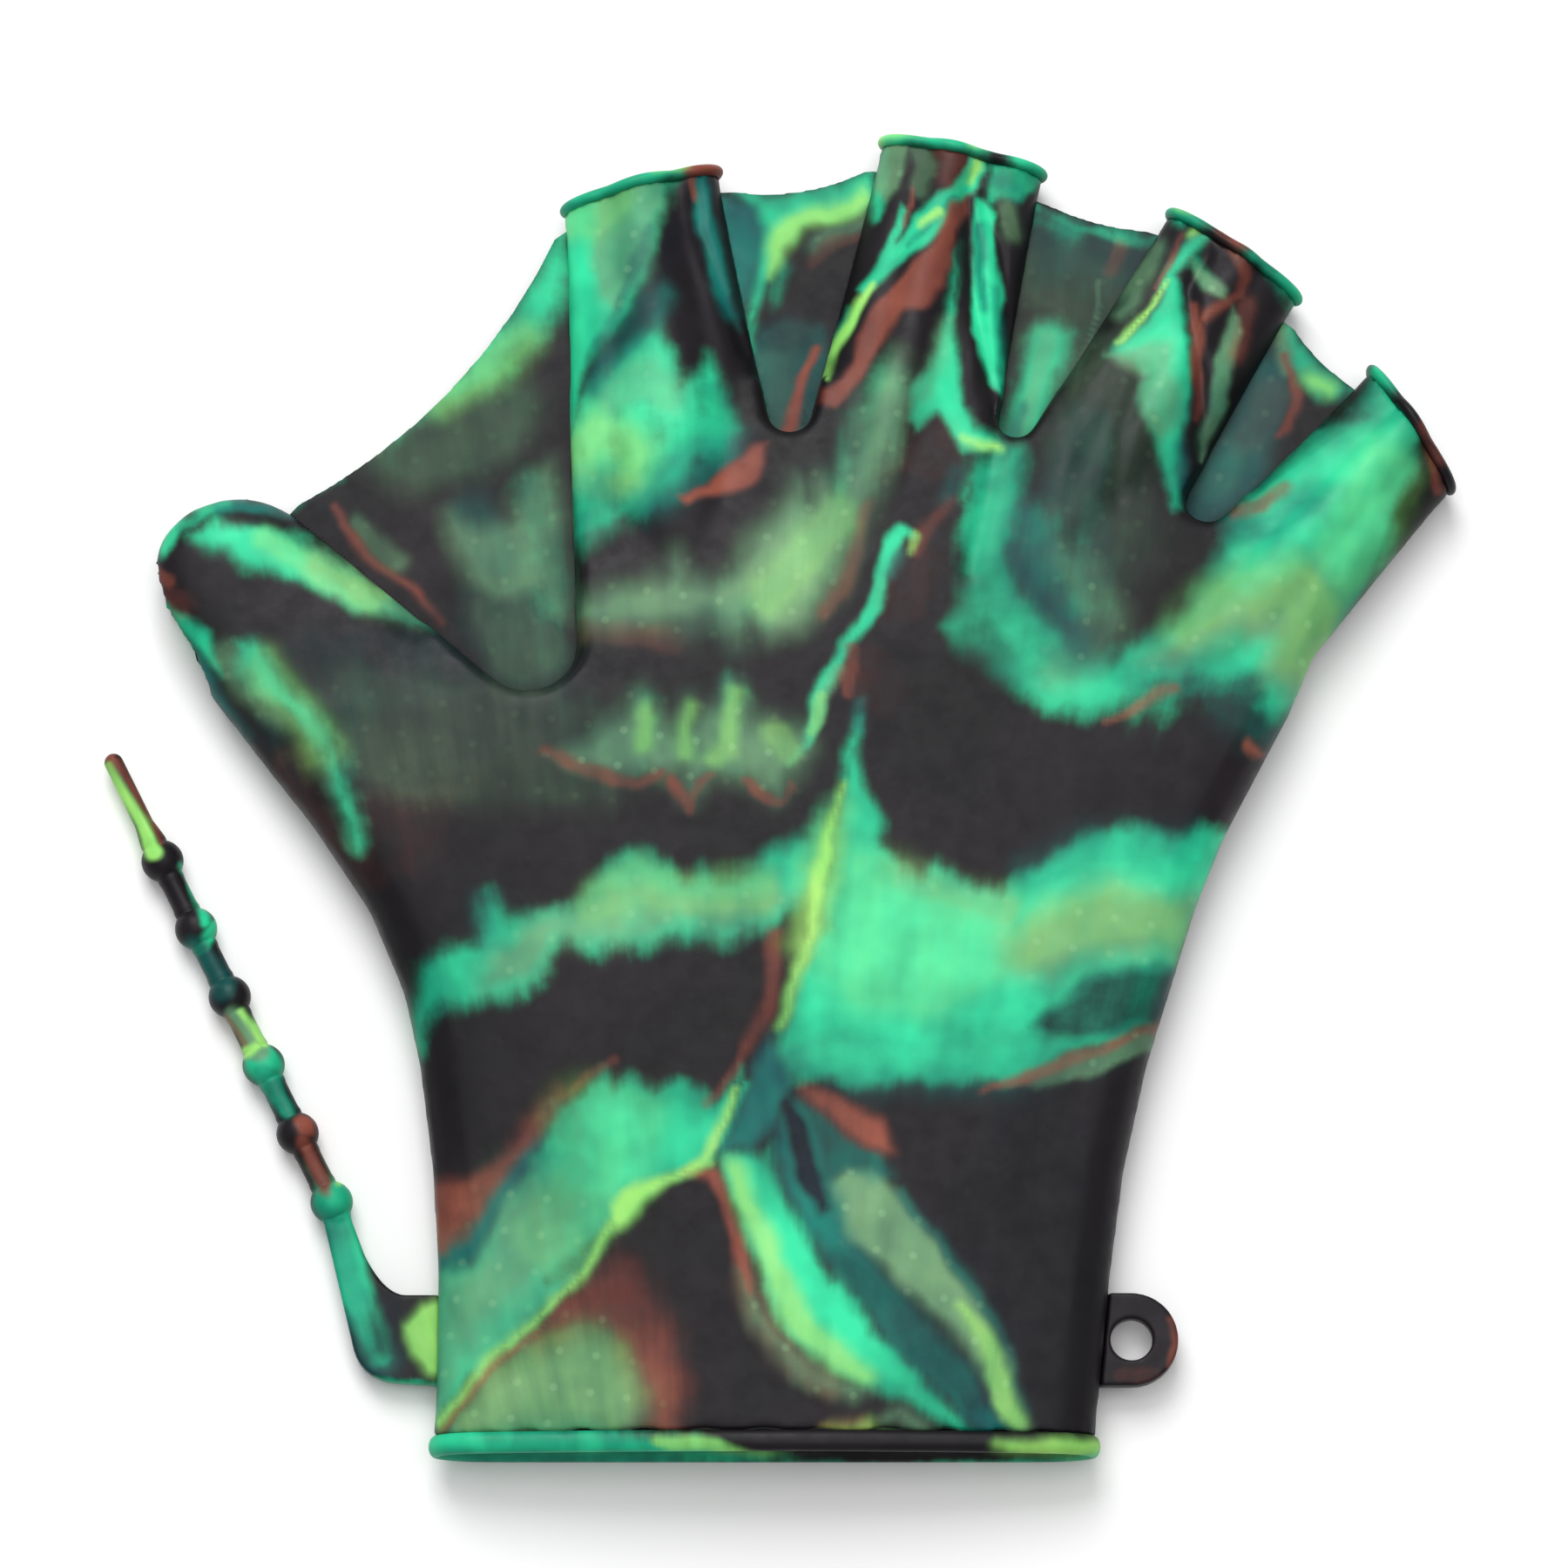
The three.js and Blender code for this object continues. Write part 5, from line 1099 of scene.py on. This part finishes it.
def add_math(tree, operation, first, second=None, third=None):
    """A math node fed by sockets or numbers."""
    made = tree.nodes.new("ShaderNodeMath")
    made.operation = operation
    for socket, value in zip(made.inputs, (first, second, third)):
        if isinstance(value, (int, float)):
            socket.default_value = value
        elif value is not None:
            tree.links.new(value, socket)
    return made.outputs[0]


def add_vector_math(tree, operation, first, second=(0, 0, 0)):
    """A vector math node fed by a socket and by three numbers."""
    made = tree.nodes.new("ShaderNodeVectorMath")
    made.operation = operation
    made.inputs[1].default_value = second
    tree.links.new(first, made.inputs[0])
    return made.outputs["Value" if operation == "LENGTH" else "Vector"]


def add_range(tree, value, low, high, out_low, out_high):
    """A smooth map from one range to another."""
    made = tree.nodes.new("ShaderNodeMapRange")
    made.interpolation_type = "SMOOTHSTEP"
    for title, number in zip(("From Min", "From Max", "To Min", "To Max"), (low, high, out_low, out_high)):
        made.inputs[title].default_value = number
    tree.links.new(value, made.inputs["Value"])
    return made.outputs["Result"]


def add_mix(tree, share, under, over):
    """A colour mix fed by sockets or colours."""
    made = tree.nodes.new("ShaderNodeMix")
    made.data_type = "RGBA"
    for socket, value in ((made.inputs[0], share), (made.inputs[6], under), (made.inputs[7], over)):
        if isinstance(value, (int, float, list, tuple)):
            socket.default_value = value
        else:
            tree.links.new(value, socket)
    return made.outputs[2]


def add_noise(tree, vector, scale, detail, roughness):
    """A noise between 0 and 1, read at a vector."""
    made = tree.nodes.new("ShaderNodeTexNoise")
    made.inputs["Scale"].default_value = scale
    made.inputs["Detail"].default_value = detail
    made.inputs["Roughness"].default_value = roughness
    tree.links.new(vector, made.inputs["Vector"])
    return made.outputs["Fac"]


def add_weighted(tree, start, *terms):
    """A start value and some noises, each of them centred on 0 and times its weight."""
    total = start
    for value, weight in terms:
        total = add_math(tree, "MULTIPLY_ADD", add_math(tree, "SUBTRACT", value, 0.5), weight, total)
    return total


MASK_POWER = 1.4
layer_group, given, made_out = new_group(
    "pigment_layer",
    [("Under", "Color"), ("Pigment", "Color"), ("Depth", "Float"), ("Grain", "Float")],
    [("Color", "Color"), ("Mask", "Float")],
)
ragged = add_math(layer_group, "ADD", given.outputs["Depth"], given.outputs["Grain"])
mask = add_math(layer_group, "POWER", add_range(layer_group, ragged, -1, 1, 0, 1), MASK_POWER)
colour = add_mix(layer_group, mask, given.outputs["Under"], given.outputs["Pigment"])
layer_group.links.new(colour, made_out.inputs["Color"])
layer_group.links.new(mask, made_out.inputs["Mask"])
print(layer_group.name, len(layer_group.nodes), "nodes")

# %% [markdown]
# The second group reads the stored depths and stacks the pigments. Its grain is drawn out along the fan of
# the fingers, because the silicone was pushed that way: the noise is read at an angle and a distance from a
# point below the wrist, where a step outwards counts for about a sixth of a step across. Each pigment also
# drifts between two tones, since no batch is ever stirred evenly, and it is palest deep inside a band,
# where it has mixed least with the charcoal. Small grip dots stand in a grid and show where the thin olive
# lies over them.

# %% Group: the marbled silicone
FAN_X, FAN_Y = -5 * MM, -260 * MM
# How much the angle, the distance and the height count.
FAN_WEIGHTS = (0.28, 0.16, 0.5)
# The scale, detail and roughness of each noise.
STREAKS = (230, 3.0, 0.55)
WIDE_STREAKS = (120, 2.0, 0.5)
CLOUDS = (240, 4.0, 0.6)
DRIFT = (46, 3.0, 0.6)
DUST = (900, 4.0, 0.7)
# From the dark to the pale tone of each.
TONES = {
    "base": ("#0f0c10", "#1d171d"),
    "emerald": ("#037a60", "#30e2a3"),
    "olive": ("#48755b", "#7dab7a"),
    "teal": ("#03474d", "#067f70"),
    # More charcoal over the pigments; in a few strokes it is painted shade on the flanks.
    "cover": ("#0e0c0f", "#1a161a"),
    "navy": ("#03070d", "#061a28"),
    "rust": ("#5e2c26", "#a05744"),
    "lime": ("#86d868", "#b4ec78"),
}
# How ragged each one's edge is.
GRAIN = {
    "emerald": 0.85, "olive": 0.26, "teal": 0.26, "cover": 0.55, "navy": 0.25, "rust": 0.4, "lime": 0.18,
}
STREAKS_IN_GRAIN, CLOUDS_IN_GRAIN = 1.9, 1.4
TONE_MIDDLE = 0.3
DRIFT_IN_TONE, WIDE_IN_TONE, STREAKS_IN_TONE = 2.6, 0.7, 0.2
CORE_GLOW, CORE_DEPTH = 0.13, 2.5
marble, given, made_out = new_group(
    "marbled_silicone",
    [("Dots", "Float")],
    [("Color", "Color"), ("Roughness", "Float"), ("Height", "Float")],
)
place = marble.nodes.new("ShaderNodeTexCoord").outputs["Object"]
axes = marble.nodes.new("ShaderNodeSeparateXYZ")
marble.links.new(place, axes.inputs[0])
side = add_math(marble, "SUBTRACT", axes.outputs["X"], FAN_X)
up = add_math(marble, "SUBTRACT", axes.outputs["Y"], FAN_Y)
angle = add_math(marble, "ARCTAN2", side, up)
square = add_math(marble, "MULTIPLY", side, side)
distance = add_math(marble, "SQRT", add_math(marble, "MULTIPLY_ADD", up, up, square))
fan = marble.nodes.new("ShaderNodeCombineXYZ")
for socket, value, weight in zip(fan.inputs, (angle, distance, axes.outputs["Z"]), FAN_WEIGHTS):
    marble.links.new(add_math(marble, "MULTIPLY", value, weight), socket)
streaks = add_noise(marble, fan.outputs[0], *STREAKS)
wide_streaks = add_noise(marble, fan.outputs[0], *WIDE_STREAKS)
clouds = add_noise(marble, place, *CLOUDS)
drift = add_noise(marble, place, *DRIFT)
grain = add_weighted(marble, 0.0, (streaks, STREAKS_IN_GRAIN), (clouds, CLOUDS_IN_GRAIN))
tone = add_weighted(
    marble, TONE_MIDDLE, (drift, DRIFT_IN_TONE), (wide_streaks, WIDE_IN_TONE), (streaks, STREAKS_IN_TONE)
)
tone = add_math(marble, "MAXIMUM", add_math(marble, "MINIMUM", tone, 1.0), 0.0)

colour = add_mix(marble, tone, *(hex_colour(code) for code in TONES["base"]))
masks = {}
for pigment in PIGMENTS:
    stored = marble.nodes.new("ShaderNodeAttribute")
    stored.attribute_name = pigment
    layer = marble.nodes.new("ShaderNodeGroup")
    layer.node_tree = layer_group
    marble.links.new(colour, layer.inputs["Under"])
    inward = add_math(marble, "MINIMUM", stored.outputs["Fac"], CORE_DEPTH)
    inner_tone = add_math(marble, "MULTIPLY_ADD", inward, CORE_GLOW, tone)
    dark, pale = (hex_colour(code) for code in TONES[pigment])
    marble.links.new(add_mix(marble, inner_tone, dark, pale), layer.inputs["Pigment"])
    marble.links.new(stored.outputs["Fac"], layer.inputs["Depth"])
    marble.links.new(add_math(marble, "MULTIPLY", grain, GRAIN[pigment]), layer.inputs["Grain"])
    colour, masks[pigment] = layer.outputs["Color"], layer.outputs["Mask"]

DOT_PITCH = 5.6 * MM
DOT_RADIUS = 0.62 * MM
DOT_TURN = math.radians(9)
DOT_COLOUR = "#b9f0b0"
DOT_COVER = 0.13
grid = marble.nodes.new("ShaderNodeVectorRotate")
grid.rotation_type = "Z_AXIS"
grid.inputs["Angle"].default_value = DOT_TURN
marble.links.new(place, grid.inputs["Vector"])
cells = add_vector_math(marble, "MULTIPLY", grid.outputs[0], (1 / DOT_PITCH, 1 / DOT_PITCH, 0))
centre = add_vector_math(marble, "SUBTRACT", add_vector_math(marble, "FRACTION", cells), (0.5, 0.5, 0))
reach = add_vector_math(marble, "LENGTH", centre)
RIM = DOT_RADIUS / DOT_PITCH
dots = add_range(marble, reach, RIM * 0.5, RIM * 1.4, 1, 0)
dots = add_math(marble, "MULTIPLY", dots, given.outputs["Dots"])
shown = add_math(marble, "MULTIPLY", dots, add_math(marble, "MULTIPLY", masks["olive"], DOT_COVER))
colour = add_mix(marble, shown, colour, hex_colour(DOT_COLOUR))
marble.links.new(colour, made_out.inputs["Color"])

SATIN = (0.40, 0.54)
PORE_HEIGHT, SWELL_HEIGHT, DOT_HEIGHT = 0.012, 0.10, 0.02
marble.links.new(add_range(marble, clouds, 0.3, 0.7, *SATIN), made_out.inputs["Roughness"])
pores = add_math(marble, "MULTIPLY", add_noise(marble, place, *DUST), PORE_HEIGHT)
swell = add_math(marble, "MULTIPLY_ADD", drift, SWELL_HEIGHT, pores)
marble.links.new(add_math(marble, "MULTIPLY_ADD", dots, DOT_HEIGHT, swell), made_out.inputs["Height"])
print(marble.name, len(marble.nodes), "nodes")

# %% [markdown]
# Each kind of piece gets its own material from the same group, so a library user can recolour the webs or
# the beads alone. Only the hand and the webs have grip dots. The surface is satin: moulded silicone is
# neither glossy nor chalky.

# %% Materials
BUMP_STRENGTH = 0.6
SPECULAR = 0.2


def silicone(name, dots, roughness_shift):
    """A marbled silicone material with fainter or stronger dots and its own gloss."""
    made, nodes, links = new_material(name)
    group = nodes.new("ShaderNodeGroup")
    group.node_tree = marble
    group.inputs["Dots"].default_value = dots
    shader = nodes["Principled BSDF"]
    links.new(group.outputs["Color"], shader.inputs["Base Color"])
    rough = add_math(made.node_tree, "ADD", group.outputs["Roughness"], roughness_shift)
    links.new(rough, shader.inputs["Roughness"])
    bump = nodes.new("ShaderNodeBump")
    bump.inputs["Strength"].default_value = BUMP_STRENGTH
    bump.inputs["Distance"].default_value = MM
    links.new(group.outputs["Height"], bump.inputs["Height"])
    links.new(bump.outputs["Normal"], shader.inputs["Normal"])
    shader.inputs["Specular IOR Level"].default_value = SPECULAR
    return made


# How strong the dots are, and how much rougher or smoother than the hand.
FINISHES = {
    "hand_silicone": (1.0, 0.0),
    "web_silicone": (0.6, 0.02),
    "rim_silicone": (0.0, -0.04),
    "strap_silicone": (0.0, -0.02),
}
paints = {name: silicone(name, *finish) for name, finish in FINISHES.items()}
print("materials", sorted(paints))

# %% [markdown]
# ## Hand over
#
# Every piece rides on the fixed root, is shaded smooth and takes its kind's material, and the CAD node that
# it stands in for is hidden.

# %% Finish
pieces = [
    (hand, "hand_shell", "hand_silicone"),
    (strap_beads, "wrist_strap", "strap_silicone"),
    (strap_foot, "wrist_strap", "strap_silicone"),
    (tab, "strap_loop", "strap_silicone"),
]
pieces += [(web, node, "web_silicone") for node, web in webs.items()]
pieces += [(roll, node, "rim_silicone") for node, roll in rolls.items()]
for piece, node, slot in pieces:
    piece.data.polygons.foreach_set("use_smooth", [True] * len(piece.data.polygons))
    piece.data.materials.clear()
    piece.data.materials.append(paints[slot])
    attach(piece, "root")
    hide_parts(node)
    print(piece.name, sum(len(face.vertices) - 2 for face in piece.data.polygons), "triangles")
